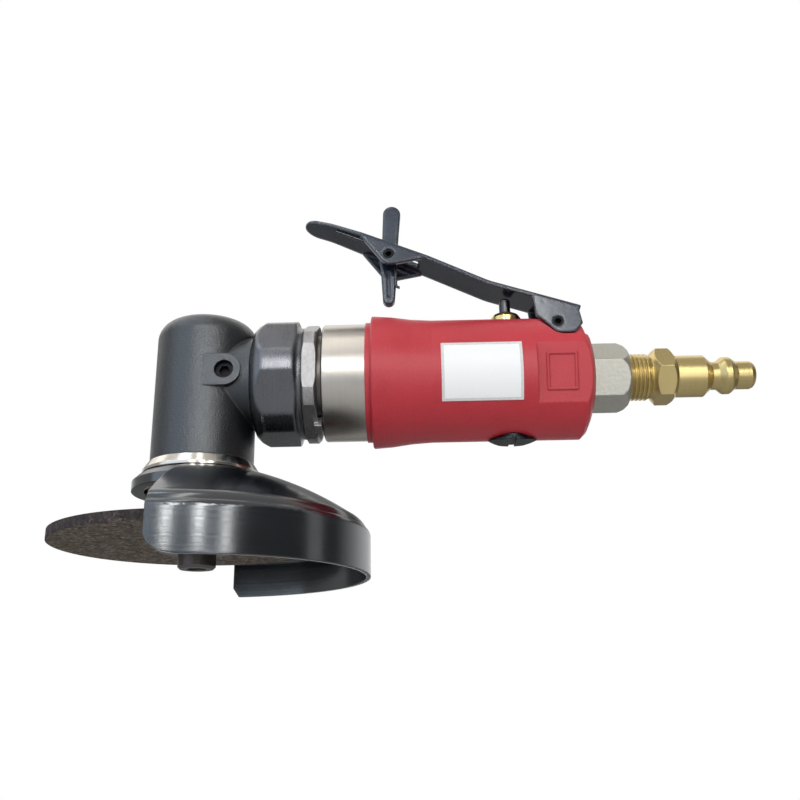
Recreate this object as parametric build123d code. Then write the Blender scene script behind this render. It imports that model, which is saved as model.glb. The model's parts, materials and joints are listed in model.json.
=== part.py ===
from build123d import *
import math
import os

os.makedirs("parts", exist_ok=True)

# Frame while building: the handle axis is X, the wheel's spindle axis is Z, and they cross at zero.
# +X runs back to the air inlet, +Z is up to the lever. Everything is in millimetres.
# On export the zero moves to the middle of the grip.

# Clearances
FIT = 0.05            # between pieces that are screwed or pressed together
RUN = 0.03            # radial, a shaft in its bearing or a pin in its hole
SLIDE = 0.1           # between flat faces that slide on each other
FREE = 0.4            # between pieces that only pass each other
EDGE = 0.4            # small broken edges
PAST = 1.0            # how far a cut or a boss runs past the face it meets

# Handle, across
MOTOR_BORE_D = 24.0
HOUSING_WALL = 2.0
BARREL_STEP = 2.5
GRIP_WALL = 3.15
GRIP_FLARE = 1.45
LIP_WALL = 0.35
NUT_WALL = 2.5
NUT_CORNER_CUT = 1.5
NUT_FRONT_END = ((0.0, 3.0), (0.3, 2.2), (1.4, 1.1), (3.3, 0.0))   # back from the end, and drop
NUT_REAR_END = ((0.0, 1.8), (0.45, 1.3), (0.9, 0.0))
NUT_COLLAR_WALL = 1.7
LOCK_RING_WALL = 1.75
LOCK_RING_CORNER_CUT = 1.25
LOCK_RING_END = ((0.0, 0.9), (0.5, 0.0))
LOCK_TAB = (1.1, 3.2, 66.0)   # length, width and degrees below the -Y side
NUT_TURN = -4.4       # degrees about the handle axis
LOCK_RING_TURN = 30.0
HOSE_END_TURN = 48.0
THREAD_RELIEF_DEPTH = 0.4

# Handle, along
NUT_FRONT_X = 14.7
NUT_LENGTH = 12.7
NUT_LIP = 2.7
NECK_FLANGE = 2.5
LOCK_RING_GAP = 1.2
LOCK_RING_LENGTH = 3.8
THREAD_RELIEF = 1.3
BARREL_LENGTH = 13.3
GRIP_LENGTH = 60.55
GRIP_FLARE_LENGTH = 5.5
GRIP_TAPER_LENGTH = 11.0
GRIP_FRONT_EDGE = 0.3
GRIP_FLARE_FALL = 0.35
GRIP_END_CURVE = ((3.2, 0.0), (1.98, 1.2), (0.96, 3.4), (0.0, 6.2))   # from the rear and from the outside
LIP_LENGTH = 1.6
REAR_WALL = 1.8

# Angle head
HEAD_WALL = 3.0
HEAD_TOP_Z = 18.0
HEAD_BOTTOM_Z = -23.0
HEAD_TOP_ROUND = 5.5
NECK_ROOT_D = 23.6
NECK_END_D = 26.4
NECK_LIP_D = 24.2
BOSS_X = 7.6
BOSS_D = 9.0
GREASE_SCREW_D = 5.0
GREASE_SCREW_LENGTH = 3.4
GREASE_SOCKET = 2.5
GREASE_SCREW_SUNK = 1.6
CAVITY_STEP = 0.5
GEAR_ROOM = 1.5       # round the gear's pitch circle
UPPER_SEAT_Z = 9.3

# Bearings
SHAFT_D = 8.0
SMALL_BEARING_D = 16.0
SMALL_BEARING_WIDTH = 5.0
NECK_BEARING_D = 19.0
NECK_BEARING_WIDTH = 6.0
LOWER_BEARING_WIDTH = 7.0
BEARING_RACE = 1.4
SHIELD_DEPTH = 0.4
BEARING_LIP = 0.9

# Bevel gears
MODULE = 1.0
PINION_TEETH = 14
GEAR_TEETH = 18
FACE_WIDTH = 4.0
ADDENDUM = 0.75
DEDENDUM = 1.05
BACKLASH = 0.3
PRESSURE_ANGLE = 20.0
GEAR_BACK = 1.6
GEAR_HUB_D = 13.0
GEAR_HUB_Z = -12.4
PINION_BACK = 1.0
PINION_HUB_WALL = 1.5
SHIM_T = 1.05
SHIM_D = 12.0
KEY_WIDTH = 2.0
KEY_DEPTH = 1.0
KEY_LENGTH = 4.5

# Wheel and what holds it
WHEEL_D = 76.2
WHEEL_T = 2.5
WHEEL_BORE_D = 9.5
WHEEL_BOTTOM_Z = -45.0
FLANGE_D = 20.0
INNER_FLANGE_T = 5.0
OUTER_FLANGE_T = 1.8
INNER_FLANGE_BEVEL = 2.0
PILOT_SHORT = 0.5
SPINDLE_NOSE_D = 9.0
SPINDLE_BODY_D = 12.0
SCREW_D = 6.0
SCREW_LENGTH = 14.0
SCREW_HEAD_D = 10.0
SCREW_HEAD_T = 4.5
SCREW_SOCKET = 5.0
SCREW_SOCKET_DEPTH = 2.7
SCREW_EDGE = 0.6

# Collar and guard
COLLAR_T = 3.2
COLLAR_TOP = ((0.2, 0.0), (1.8, 2.4))   # beyond the head and below the collar's top
CAP_FLANGE_D = 29.0
CAP_FLANGE_T = 2.4
GUARD_ROOM = 6.8      # round the wheel, inside the skirt
GUARD_WALL = 1.2
GUARD_RIM_Z = -53.9
SKIRT_HEIGHT = 10.5
SHOULDER_R = 3.6
SHOULDER_DROP = 4.6
SHOULDER_LEAN = 20.5   # degrees from upright, above the bead
DOME_START_R = 15.6
DOME_BULGE = 1.2
GUARD_HUB_D = 36.4
GUARD_HUB_DROP = 4.8
GUARD_HUB_ROUND = 1.5
GUARD_HUB_FALL = 0.8
GUARD_NEAR_CORNER = ((0.0, 4.2), (0.9, 2.3), (3.0, 0.7), (6.5, 0.0))   # back from the end, up from the rim
GUARD_FAR_CORNER = ((0.0, 2.6), (1.8, 0.0))
GUARD_BEAD = (0.85, 1.6)   # depth and height of the bead round the skirt's top
BEAD_SWELL = (0.2, 0.55)  # shares of the two, at the middle of its curve
GUARD_TURN = -1.4     # degrees about the spindle

# Vane motor
SPACER_WALL = 2.2
END_PLATE_T = 6.0
FRONT_PLATE_GAP = 0.9
PLATE_WEB = 1.0
CYLINDER_LENGTH = 28.0
CYLINDER_WALL = 1.45  # where it is thinnest
ECCENTRIC = 1.0
ROTOR_GAP = 0.35
VANE_COUNT = 4
VANE_T = 1.5
VANE_ROOT = 0.15      # between a vane's inner edge and the shaft
TANG = 4.0
TANG_LENGTH = 5.0
SHAFT_GAP = (1.5, 0.8)     # pinion's and rotor's shaft ends, in front of the end plate
SOCKET_SPARE = 0.5
DOWEL_D = 2.0
DOWEL_WALL = 0.75
GASKET_T = 0.8
PORT_D = 3.0
PORT_AT = 0.65        # of the cylinder's length
CHANNEL_DEPTH = 1.0
GASKET_LAP = 0.5

# Throttle valve, measured from the rear of the grip
VALVE_FROM_REAR = 22.2
BUSH_D = 8.9
BUSH_TOP = 3.05       # above the grip
BUSH_DOME = 2.0
BUSH_BOTTOM_Z = 7.8
BUSH_SEAL_DEPTH = 3.0 # under the housing's surface
AIR_WAY_STEP = 0.5
STEM_D = 3.2
STEM_HEAD_D = 6.8
STEM_HEAD_T = 2.0
STEM_GAP = 0.35       # under the lever
STEM_POINT = (0.6, 0.6)    # share of the radius, and length
SEAL_TAPER = 0.5
SEAL_T = 1.9
O_RING = 0.8
SPRING_WIRE = 0.7
SPRING_D = 6.2
SPRING_TURNS = 6
REGULATOR_D = 8.4
REGULATOR_TOP_Z = -6.5
REGULATOR_PROUD = 1.05
REGULATOR_CUP = 2.5
REGULATOR_SLOT = (1.6, 0.5)
REGULATOR_BAR = (13.4, 6.6)    # length of the thumb bar, and of its flat face
REGULATOR_BAR_GAP = 0.3        # under the grip
REGULATOR_BAR_TIP = 0.25       # thickness at its ends
REGULATOR_RING_Z = -12.2
REGULATOR_SEAL_Z = -10.2
GROOVE_DEPTH = 0.9
RING_T = 0.8
RING_OPENING = 3.0
RING_SPRUNG = 0.3

# Air inlet
BOSS_LENGTH = 4.0
BOSS_WALL = 1.0
INLET_FLATS = 17.0
INLET_HEX_LENGTH = 10.9
INLET_FRONT_END = ((0.0, 0.1), (0.1, 0.0))
INLET_END = ((0.0, 2.9), (0.5, 1.6), (1.5, 0.7), (3.0, 0.0))
INLET_SPIGOT_D = 12.6
INLET_SPIGOT_LENGTH = 12.0
INLET_BORE_D = 10.0
PLUG_THREAD_D = 13.2
PLUG_THREAD_IN = 8.5
PLUG_THREAD_SHOWN = 6.2
PLUG_THREAD_PITCH = 1.15
PLUG_THREAD_DEPTH = 0.65
PLUG_THREAD_FLANK = 0.4   # share of the pitch
PLUG_FLATS = 14.0
PLUG_HEX_LENGTH = 6.8
PLUG_HEX_TURN = 56.0
PLUG_HEX_END = ((0.0, 2.1), (1.7, 0.0))
PLUG_BODY_D = 11.8
PLUG_BODY_LENGTH = 8.0
PLUG_CHAMFER = 2.2
PLUG_GROOVE_D = 7.9
PLUG_GROOVE_LENGTH = 1.8
PLUG_RIDGE_D = 10.5
PLUG_RIDGE_FLANKS = (1.6, 1.7)
PLUG_RIDGE_ROUND = 0.8
PLUG_RIDGE_LENGTH = 5.1
PLUG_NOSE_LENGTH = 5.2
PLUG_NOSE_ROUND = (1.2, 0.85)
PLUG_BORE_D = 5.5
SCREEN_T = 1.0
SCREEN_HOLE_D = 1.6
SCREEN_RING_R = 2.1
SCREEN_HOLES = 6
SCREEN_INSET = 3.0
INLET_SEAL_INSET = 1.0
INLET_SEAL_ROOM = 1.0

# Lever
LEVER_WIDTH = 12.0
LEVER_TAPER = 1.5     # on each side, towards the tip
LEVER_T = 1.4
EAR_T = 1.3
PIVOT_FROM_REAR = 8.1
PIVOT_DEPTH = 1.92    # under the top of the grip
PIVOT_PIN_D = 3.0
PIN_WALL = 0.65
LEVER_BACK = (6.9, 4.95)     # top rear corner, from the pivot
LEVER_REAR = (26.8, 18.0)    # length and slope of each straight
LEVER_MIDDLE = (19.5, 25.8)
LEVER_FRONT = (30.3, 22.7)
LEVER_TIP = (8.5, 16.3)
LEVER_BEND = 25.0     # radius between the straights
LEVER_EDGE = 0.8      # rounding of the sheet's top edge
EAR_DEPTH = 3.3
EAR_FRONT = 6.7
EAR_ROUND = 2.4
EAR_TOE = 0.4
EAR_HEEL = (2.3, 2.6)
EAR_THROAT = (6.0, 2.2)      # in front of the pivot and above it
SPINE_PROUD = 2.0
SPINE_WALL = 1.2
SPINE_TOP = (4.4, 3.8, -0.5)     # foot, top front and top rear, in front of the pivot
SPINE_END = (0.5, 0.6)
EAR_BLOCK = (2.6, 3.4)           # in front of the pivot and behind it
NOTCH_FLOOR = 7.8     # under the pivot
NOTCH_FRONT = (9.2, 2.2)   # in front of the pivot, at the grip's top and at the floor
NOTCH_ROUND = 4.0

# Safety latch, from the pivot
LATCH_PIN_AT = (-47.4, 22.25)
LATCH_PIN_D = 2.9
LATCH_T = 3.0
LATCH_FINGER = 15.6
LATCH_FINGER_LEAN = 1.0
LATCH_FINGER_W = 5.2
LATCH_FOOT = 12.1
LATCH_FOOT_W = 3.5
LATCH_HUB_D = 5.6
LATCH_WAIST = (0.8, 0.4)   # finger's and foot's narrowing at the hub
LATCH_FOOT_LEAN = -0.2
LATCH_EDGE = 0.5
LATCH_FLUTE = (0.9, 0.5)
LATCH_FLUTE_ENDS = (1.0, 0.5)
LATCH_EAR_FRONT = 8.0
LATCH_EAR_REAR = 9.6
LATCH_EAR_R = 3.2
LATCH_EAR_TIP = 1.2
LATCH_EAR_ROUND = 3.8
LATCH_SLOT_FRONT = 4.6
LATCH_SLOT_REAR = 8.6
TORSION_WIRE = 0.8
TORSION_LEG = 17.5
TORSION_DROP = 8.0
TORSION_HOOK = 1.1
TORSION_GAP = 0.25    # beside the latch
TORSION_STEPS = 5

# Label and moulded panel, seen from the -Y side
LABEL_T = 0.2
LABEL_GLUE = 0.01
LABEL_FROM_FRONT = 18.75
LABEL_LENGTH = 21.55
LABEL_ARC = (-37.0, 16.5)
PANEL_FROM_REAR = 16.3
PANEL_TILT = 12.4
PANEL_WALL = 1.15
FRAME_FROM_REAR = (13.8, 5.6)
FRAME_HEIGHT = 10.3
FRAME_RISE = 0.4      # above the panel's middle
FRAME_W = 0.7
FRAME_T = 0.4

# Sizes that follow from the ones above
BODY_R = MOTOR_BORE_D / 2 + HOUSING_WALL
BARREL_R = BODY_R + BARREL_STEP
GRIP_R = BODY_R + FIT + GRIP_WALL
GRIP_FRONT_R = GRIP_R + GRIP_FLARE
NECK_FLANGE_X = NUT_FRONT_X + NUT_LIP + FIT
NECK_REAR_X = NECK_FLANGE_X + NECK_FLANGE
NOSE_X = NECK_REAR_X + FIT
NUT_REAR_X = NUT_FRONT_X + NUT_LENGTH
LOCK_RING_X = NUT_REAR_X + LOCK_RING_GAP
BARREL_X = LOCK_RING_X + LOCK_RING_LENGTH + THREAD_RELIEF
BARREL_END_X = BARREL_X + BARREL_LENGTH
GRIP_X = BARREL_END_X + FIT
GRIP_END_X = GRIP_X + GRIP_LENGTH
GRIP_CENTRE_X = (GRIP_X + GRIP_END_X) / 2
HOUSING_END_X = GRIP_END_X - BOSS_LENGTH
VALVE_X = GRIP_END_X - VALVE_FROM_REAR
PIVOT_X = GRIP_END_X - PIVOT_FROM_REAR
PIVOT_Z = GRIP_R - PIVOT_DEPTH
CAVITY_R = MODULE * GEAR_TEETH / 2 + GEAR_ROOM
CASE_R = CAVITY_R + CAVITY_STEP
HEAD_R = CASE_R + HEAD_WALL
LOWER_SEAT_Z = GEAR_HUB_Z - FIT - SHIM_T
CAP_TOP_Z = LOWER_SEAT_Z - LOWER_BEARING_WIDTH - FIT
COLLAR_BOTTOM_Z = HEAD_BOTTOM_Z - FIT - COLLAR_T
GUARD_TOP_Z = COLLAR_BOTTOM_Z - SLIDE
CAP_FLANGE_Z = GUARD_TOP_Z - GUARD_WALL - SLIDE
CAP_R = CASE_R - FIT
GUARD_R = WHEEL_D / 2 + GUARD_ROOM + GUARD_WALL
WHEEL_TOP_Z = WHEEL_BOTTOM_Z + WHEEL_T
SCREW_SEAT_Z = WHEEL_BOTTOM_Z - OUTER_FLANGE_T
INNER_FLANGE_Z = WHEEL_TOP_Z + INNER_FLANGE_T
SPACER_X = NOSE_X + FIT
FRONT_PLATE_X = NUT_REAR_X + FRONT_PLATE_GAP
CYLINDER_X = FRONT_PLATE_X + END_PLATE_T
REAR_PLATE_X = CYLINDER_X + CYLINDER_LENGTH
GASKET_X = REAR_PLATE_X + END_PLATE_T
MOTOR_END_X = GASKET_X + GASKET_T + FIT
LINER_R = MOTOR_BORE_D / 2 - FIT
CYLINDER_BORE_R = LINER_R - ECCENTRIC - CYLINDER_WALL
ROTOR_R = CYLINDER_BORE_R - ECCENTRIC - ROTOR_GAP
VANE_DEPTH = ROTOR_R - SHAFT_D / 2 - VANE_ROOT
DOWEL_Z = LINER_R - DOWEL_D / 2 - DOWEL_WALL
NECK_BEARING_X = NECK_REAR_X - NECK_BEARING_WIDTH - SLIDE
REGULATOR_R = REGULATOR_D / 2
CHAMBER_R = BUSH_D / 2 + FIT
INLET_X = GRIP_END_X + FIT
SPIGOT_X = INLET_X - INLET_SPIGOT_LENGTH
INLET_BOSS_R = INLET_SPIGOT_D / 2 + BOSS_WALL
PLUG_X = INLET_X + INLET_HEX_LENGTH
EAR_Y = LEVER_WIDTH / 2 - EAR_T
SPINE_WIDTH = 2 * (EAR_Y - SLIDE)
LATCH_X = PIVOT_X + LATCH_PIN_AT[0]
LATCH_Z = PIVOT_Z + LATCH_PIN_AT[1]


def block(x0, x1, y0, y1, z0, z1):
    centre = Pos((x0 + x1) / 2, (y0 + y1) / 2, (z0 + z1) / 2)
    return centre * Box(x1 - x0, y1 - y0, z1 - z0)


def rod_x(x0, x1, r, y=0.0, z=0.0):
    return Pos((x0 + x1) / 2, y, z) * Rot(0, 90, 0) * Cylinder(r, x1 - x0)


def rod_y(y0, y1, r, x=0.0, z=0.0):
    return Pos(x, (y0 + y1) / 2, z) * Rot(90, 0, 0) * Cylinder(r, y1 - y0)


def rod_z(z0, z1, r, x=0.0, y=0.0):
    return Pos(x, y, (z0 + z1) / 2) * Cylinder(r, z1 - z0)


def turned_x(*points):
    """Solid of revolution about the handle axis, from (x, radius) points."""
    return revolve(Polygon(*points, align=None), Axis.X)


def turned_z(*points, x=0.0):
    """Solid of revolution about a vertical axis, from (radius, z) points."""
    return Pos(x, 0, 0) * revolve(Plane.XZ * Polygon(*points, align=None), Axis.Z)


def side_plate(outline, y0, y1):
    """Plate of a side outline in X and Z, between two Y values."""
    face = Plane.XZ.offset(-y0) * outline
    return extrude(face, y1 - y0, dir=(0, 1, 0))


def hex_bar(x0, x1, flats, corner_r, front, rear, turn=0.0):
    """Hexagonal bar along X with turned ends, each given as (back from the end, drop) points."""
    section = Plane.YZ * RegularPolygon(flats / 2, 6, major_radius=False, rotation=turn)
    bar = Pos(x0, 0, 0) * extrude(section, x1 - x0)
    blank = turned_x(
        (x0, 0),
        *[(x0 + back, corner_r - drop) for back, drop in front],
        *[(x1 - back, corner_r - drop) for back, drop in reversed(rear)],
        (x1, 0),
    )
    return bar & blank


def bearing(width, inner_r, outer_r):
    """Sealed ball bearing about Z, with its shields set back between the races."""
    ring = Cylinder(outer_r, width) - Cylinder(inner_r, width)
    shield = Cylinder(outer_r - BEARING_RACE, SHIELD_DEPTH) - Cylinder(inner_r + BEARING_RACE, SHIELD_DEPTH)
    lift = (width - SHIELD_DEPTH) / 2
    return ring - Pos(0, 0, lift) * shield - Pos(0, 0, -lift) * shield


def bearing_z(z0, width, inner_r, outer_r):
    return Pos(0, 0, z0 + width / 2) * bearing(width, inner_r, outer_r)


def bearing_x(x0, width, inner_r, outer_r):
    return Pos(x0 + width / 2, 0, 0) * Rot(0, 90, 0) * bearing(width, inner_r, outer_r)


def o_ring_z(z, r, x=0.0):
    """O-ring about a vertical axis; r is to the middle of its section."""
    return Pos(x, 0, z) * Torus(r, O_RING / 2)


def angle_head():
    body = rod_z(HEAD_BOTTOM_Z, HEAD_TOP_Z, HEAD_R)
    body = fillet(body.edges().group_by(Axis.Z)[-1], HEAD_TOP_ROUND)
    lip_r = NECK_LIP_D / 2
    neck = turned_x(
        (0, 0),
        (0, NECK_ROOT_D / 2),
        (NUT_FRONT_X - FREE, NECK_END_D / 2),
        (NUT_FRONT_X - FREE, lip_r),
        (NECK_FLANGE_X, lip_r),
        (NECK_FLANGE_X, BODY_R - FREE),
        (NECK_REAR_X, BODY_R - FREE),
        (NECK_REAR_X, 0),
    )
    face_y = -HEAD_R + SLIDE
    pad = rod_y(face_y, -CAVITY_R, BOSS_D / 2, BOSS_X) + block(
        0, BOSS_X, face_y, -CAVITY_R, -BOSS_D / 2, BOSS_D / 2
    )
    cavity = rod_z(LOWER_SEAT_Z, UPPER_SEAT_Z, CAVITY_R)
    cavity += rod_z(HEAD_BOTTOM_Z, LOWER_SEAT_Z, CASE_R)
    cavity += rod_z(UPPER_SEAT_Z, UPPER_SEAT_Z + SMALL_BEARING_WIDTH + SLIDE, SMALL_BEARING_D / 2 + FIT)
    cavity += rod_x(0, NECK_BEARING_X, NECK_BEARING_D / 2 - BEARING_LIP)
    cavity += rod_x(NECK_BEARING_X, NECK_REAR_X, NECK_BEARING_D / 2 + FIT)
    cavity += rod_y(face_y, 0, GREASE_SCREW_D / 2 + FIT, BOSS_X)
    nut_room = rod_x(NUT_FRONT_X - FREE, NUT_REAR_X, BODY_R + NUT_WALL * 2)
    return body + pad - nut_room + neck - cavity


def grease_screw():
    outer_y = -HEAD_R + GREASE_SCREW_SUNK
    screw = rod_y(outer_y, outer_y + GREASE_SCREW_LENGTH, GREASE_SCREW_D / 2, BOSS_X)
    socket = RegularPolygon(GREASE_SOCKET / 2, 6, major_radius=False)
    return screw - side_plate(Pos(BOSS_X, 0) * socket, outer_y, outer_y + GREASE_SCREW_LENGTH / 2)


def collar_ring():
    top = HEAD_BOTTOM_Z - FIT
    bore = CAP_R + FIT
    slope = [(HEAD_R + out, top - down) for out, down in COLLAR_TOP]
    return turned_z((bore, top), *slope, (slope[-1][0], COLLAR_BOTTOM_Z), (bore, COLLAR_BOTTOM_Z))


def bearing_cap():
    bottom = CAP_FLANGE_Z - CAP_FLANGE_T
    bore = SPINDLE_BODY_D / 2 + FREE
    return turned_z(
        (bore, CAP_TOP_Z),
        (CAP_R, CAP_TOP_Z),
        (CAP_R, CAP_FLANGE_Z),
        (CAP_FLANGE_D / 2, CAP_FLANGE_Z),
        (CAP_FLANGE_D / 2, bottom),
        (bore, bottom),
    )


def clamp_nut():
    flats = 2 * (BODY_R + NUT_WALL)
    corner_r = flats / math.sqrt(3) - NUT_CORNER_CUT
    nut = hex_bar(NUT_FRONT_X, NUT_REAR_X, flats, corner_r, NUT_FRONT_END, NUT_REAR_END, NUT_TURN)
    collar_end = LOCK_RING_X - SLIDE
    nut += rod_x(NUT_REAR_X - PAST, collar_end, BODY_R + NUT_COLLAR_WALL)
    bore = rod_x(NUT_FRONT_X, NUT_FRONT_X + NUT_LIP, NECK_LIP_D / 2 + FIT)
    return nut - bore - rod_x(NUT_FRONT_X + NUT_LIP, collar_end, BODY_R)


def lock_ring():
    flats = 2 * (BODY_R + LOCK_RING_WALL)
    corner_r = flats / math.sqrt(3) - LOCK_RING_CORNER_CUT
    end = LOCK_RING_X + LOCK_RING_LENGTH
    ring = hex_bar(LOCK_RING_X, end, flats, corner_r, LOCK_RING_END, LOCK_RING_END, LOCK_RING_TURN)
    length, width, drop = LOCK_TAB
    tab = block(end - PAST, end + length, -corner_r, -BODY_R, -width / 2, width / 2)
    return ring + Rot(drop, 0, 0) * tab - rod_x(LOCK_RING_X, end + length, BODY_R)


def notches(spread, floor_drop, front_gap):
    """The two side cuts that the lever's rear ears work in."""
    floor = PIVOT_Z - NOTCH_FLOOR - floor_drop
    top_front, floor_front = (PIVOT_X - ahead - front_gap for ahead in NOTCH_FRONT)
    far = GRIP_R * 2
    end = GRIP_END_X + far
    outline = make_face(
        Polyline(
            (floor_front, floor),
            (top_front, GRIP_R),
            (top_front, far),
            (end, far),
            (end, floor),
            close=True,
        )
    )
    outline = fillet(outline.vertices().group_by(Axis.Y)[0].group_by(Axis.X)[0], NOTCH_ROUND)
    inner = SPINE_WIDTH / 2 - spread
    return side_plate(outline, -far, -inner) + side_plate(outline, inner, far)


def housing_shape(grow, end):
    """Outside of the housing under the grip, back to that end, made larger by grow."""
    wall = SPINE_WALL - grow
    body = rod_x(GRIP_X - PAST, end, BODY_R + grow) - notches(wall, wall, wall)
    half = SPINE_WIDTH / 2 - SPINE_WALL + grow
    top = GRIP_R + SPINE_PROUD - SPINE_WALL + grow
    front, rear = EAR_BLOCK
    ear_block = block(PIVOT_X - front - grow, PIVOT_X + rear + grow, -half, half, 0, top)
    return body + ear_block


def motor_housing():
    nose_r = BODY_R - FIT
    front = turned_x(
        (NOSE_X, 0),
        (NOSE_X, nose_r),
        (BARREL_X - THREAD_RELIEF, nose_r),
        (BARREL_X - THREAD_RELIEF, nose_r - THREAD_RELIEF_DEPTH),
        (BARREL_X, nose_r - THREAD_RELIEF_DEPTH),
        (BARREL_X, BARREL_R - EDGE),
        (BARREL_X + EDGE, BARREL_R),
        (BARREL_END_X, BARREL_R),
        (BARREL_END_X, 0),
    )
    body = front + housing_shape(0, HOUSING_END_X) + rod_x(HOUSING_END_X, GRIP_END_X, INLET_BOSS_R)
    body -= rod_x(NOSE_X, MOTOR_END_X, MOTOR_BORE_D / 2)
    body -= rod_x(MOTOR_END_X, VALVE_X, CHAMBER_R - AIR_WAY_STEP)
    body -= rod_z(REGULATOR_TOP_Z, GRIP_R, CHAMBER_R, VALVE_X)
    body -= rod_z(-BODY_R - PAST, REGULATOR_TOP_Z, REGULATOR_R + RUN, VALVE_X)
    ring_r = REGULATOR_R + GROOVE_DEPTH
    body -= rod_z(REGULATOR_RING_Z - RING_T, REGULATOR_RING_Z + RING_T, ring_r, VALVE_X)
    body -= rod_x(VALVE_X, SPIGOT_X, INLET_BORE_D / 2)
    body -= rod_x(SPIGOT_X - INLET_SEAL_ROOM, GRIP_END_X, INLET_SPIGOT_D / 2 + FIT)
    body -= rod_y(-GRIP_R, GRIP_R, PIVOT_PIN_D / 2, PIVOT_X, PIVOT_Z)
    body -= exhaust_channels()
    return body


def exhaust_channels():
    """Ports from the motor and the grooves that lead the used air back under the grip."""
    port_x = CYLINDER_X + CYLINDER_LENGTH * PORT_AT
    far = BODY_R + PAST
    cuts = rod_y(-far, far, PORT_D / 2, port_x) - rod_y(-LINER_R, LINER_R, PORT_D, port_x)
    for side in (-1, 1):
        low, high = sorted((side * far, side * (BODY_R - CHANNEL_DEPTH)))
        cuts += block(port_x, HOUSING_END_X + PAST, low, high, -PORT_D / 2, PORT_D / 2)
    return cuts


def grip():
    flare_end = GRIP_X + GRIP_FLARE_LENGTH
    lip_r = BARREL_R + FIT
    wall_x = GRIP_END_X - REAR_WALL
    hole_r = INLET_FLATS / math.sqrt(3) + FREE
    body = turned_x(
        (GRIP_X, 0),
        (GRIP_X, GRIP_FRONT_R - GRIP_FRONT_EDGE),
        (GRIP_X + GRIP_FRONT_EDGE, GRIP_FRONT_R),
        (flare_end, GRIP_FRONT_R - GRIP_FLARE_FALL),
        (flare_end + GRIP_TAPER_LENGTH / 2, GRIP_R + GRIP_FLARE_FALL),
        (flare_end + GRIP_TAPER_LENGTH, GRIP_R),
        *[(GRIP_END_X - back, GRIP_R - down) for back, down in GRIP_END_CURVE],
        (GRIP_END_X, 0),
    )
    body += spine()
    body -= notches(0, 0, 0)
    body -= housing_shape(FIT, wall_x)
    body -= rod_x(HOUSING_END_X, wall_x, INLET_BOSS_R + FIT)
    body -= rod_x(wall_x - PAST, GRIP_END_X, hole_r)
    lip_x = GRIP_X - LIP_LENGTH
    body += rod_x(lip_x, GRIP_X + EDGE, lip_r + LIP_WALL) - rod_x(lip_x, GRIP_X + EDGE, lip_r)
    body -= rod_z(0, GRIP_FRONT_R, BUSH_D / 2 + FIT, VALVE_X)
    body -= rod_z(-GRIP_FRONT_R, 0, REGULATOR_R + FREE / 2, VALVE_X)
    body -= rod_y(-GRIP_R, GRIP_R, PIVOT_PIN_D / 2 + FIT, PIVOT_X, PIVOT_Z)
    return body - panel_cut() + panel_frame()


def spine():
    """The narrow block between the lever's rear ears."""
    top = GRIP_R + SPINE_PROUD
    foot = BODY_R + PAST
    foot_front, top_front, top_rear = (PIVOT_X - ahead for ahead in SPINE_TOP)
    back, down = SPINE_END
    end = GRIP_END_X - REAR_WALL - back
    outline = Polygon(
        (foot_front, foot), (top_front, top), (top_rear, top), (end, GRIP_R - down), (end, foot), align=None
    )
    return side_plate(outline, -SPINE_WIDTH / 2, SPINE_WIDTH / 2)


def panel_plane(distance, x):
    """Plane square to the moulded side panel, that far from the handle axis."""
    tilt = math.radians(PANEL_TILT)
    out = Vector(0, -math.cos(tilt), -math.sin(tilt))
    return Plane(origin=out * distance + Vector(x, 0, 0), x_dir=(1, 0, 0), z_dir=out)


def panel_cut():
    plane = panel_plane(BODY_R + FIT + PANEL_WALL, GRIP_END_X - PANEL_FROM_REAR)
    reach = PANEL_FROM_REAR + PAST
    face = plane * (Pos(reach / 2, 0) * Rectangle(reach, GRIP_R * 2))
    return extrude(face, GRIP_WALL * 2)


def panel_frame():
    start, end = (GRIP_END_X - back for back in FRAME_FROM_REAR)
    plane = panel_plane(BODY_R + FIT + PANEL_WALL, (start + end) / 2)
    outer = Rectangle(end - start, FRAME_HEIGHT)
    inner = Rectangle(end - start - 2 * FRAME_W, FRAME_HEIGHT - 2 * FRAME_W)
    return extrude(plane * (Pos(0, FRAME_RISE) * (outer - inner)), FRAME_T)


def label_plate():
    start = GRIP_X + LABEL_FROM_FRONT
    low, high = LABEL_ARC
    inner = GRIP_R + LABEL_GLUE
    strip = Pos(start + LABEL_LENGTH / 2, inner + LABEL_T / 2) * Rectangle(LABEL_LENGTH, LABEL_T)
    arc = revolve(strip, Axis.X, revolution_arc=high - low)
    return Rot(180 - high, 0, 0) * arc


def gear_angles(teeth, mate):
    cone = math.atan2(teeth, mate)
    reach = MODULE * math.hypot(teeth, mate) / 2
    return cone, reach


def gear_tooth(cone, reach):
    """One straight bevel tooth on a cone that opens downwards from zero."""
    along = Vector(math.sin(cone), 0, -math.cos(cone))
    out = Vector(math.cos(cone), 0, math.sin(cone))
    across = Vector(0, 1, 0)
    slope = math.tan(math.radians(PRESSURE_ANGLE))
    half = (math.pi * MODULE / 2 - BACKLASH) / 2
    root = -DEDENDUM - EDGE
    tip_half = half - ADDENDUM * slope
    root_half = half - root * slope
    corners = [(ADDENDUM, -tip_half), (ADDENDUM, tip_half), (root, root_half), (root, -root_half)]
    ends = []
    for scale in (1.0, (reach - FACE_WIDTH) / reach):
        points = [(along * reach + out * height + across * side) * scale for height, side in corners]
        ends.append(Wire.make_polygon(points))
    return Solid.make_loft(ends, True)


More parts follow.
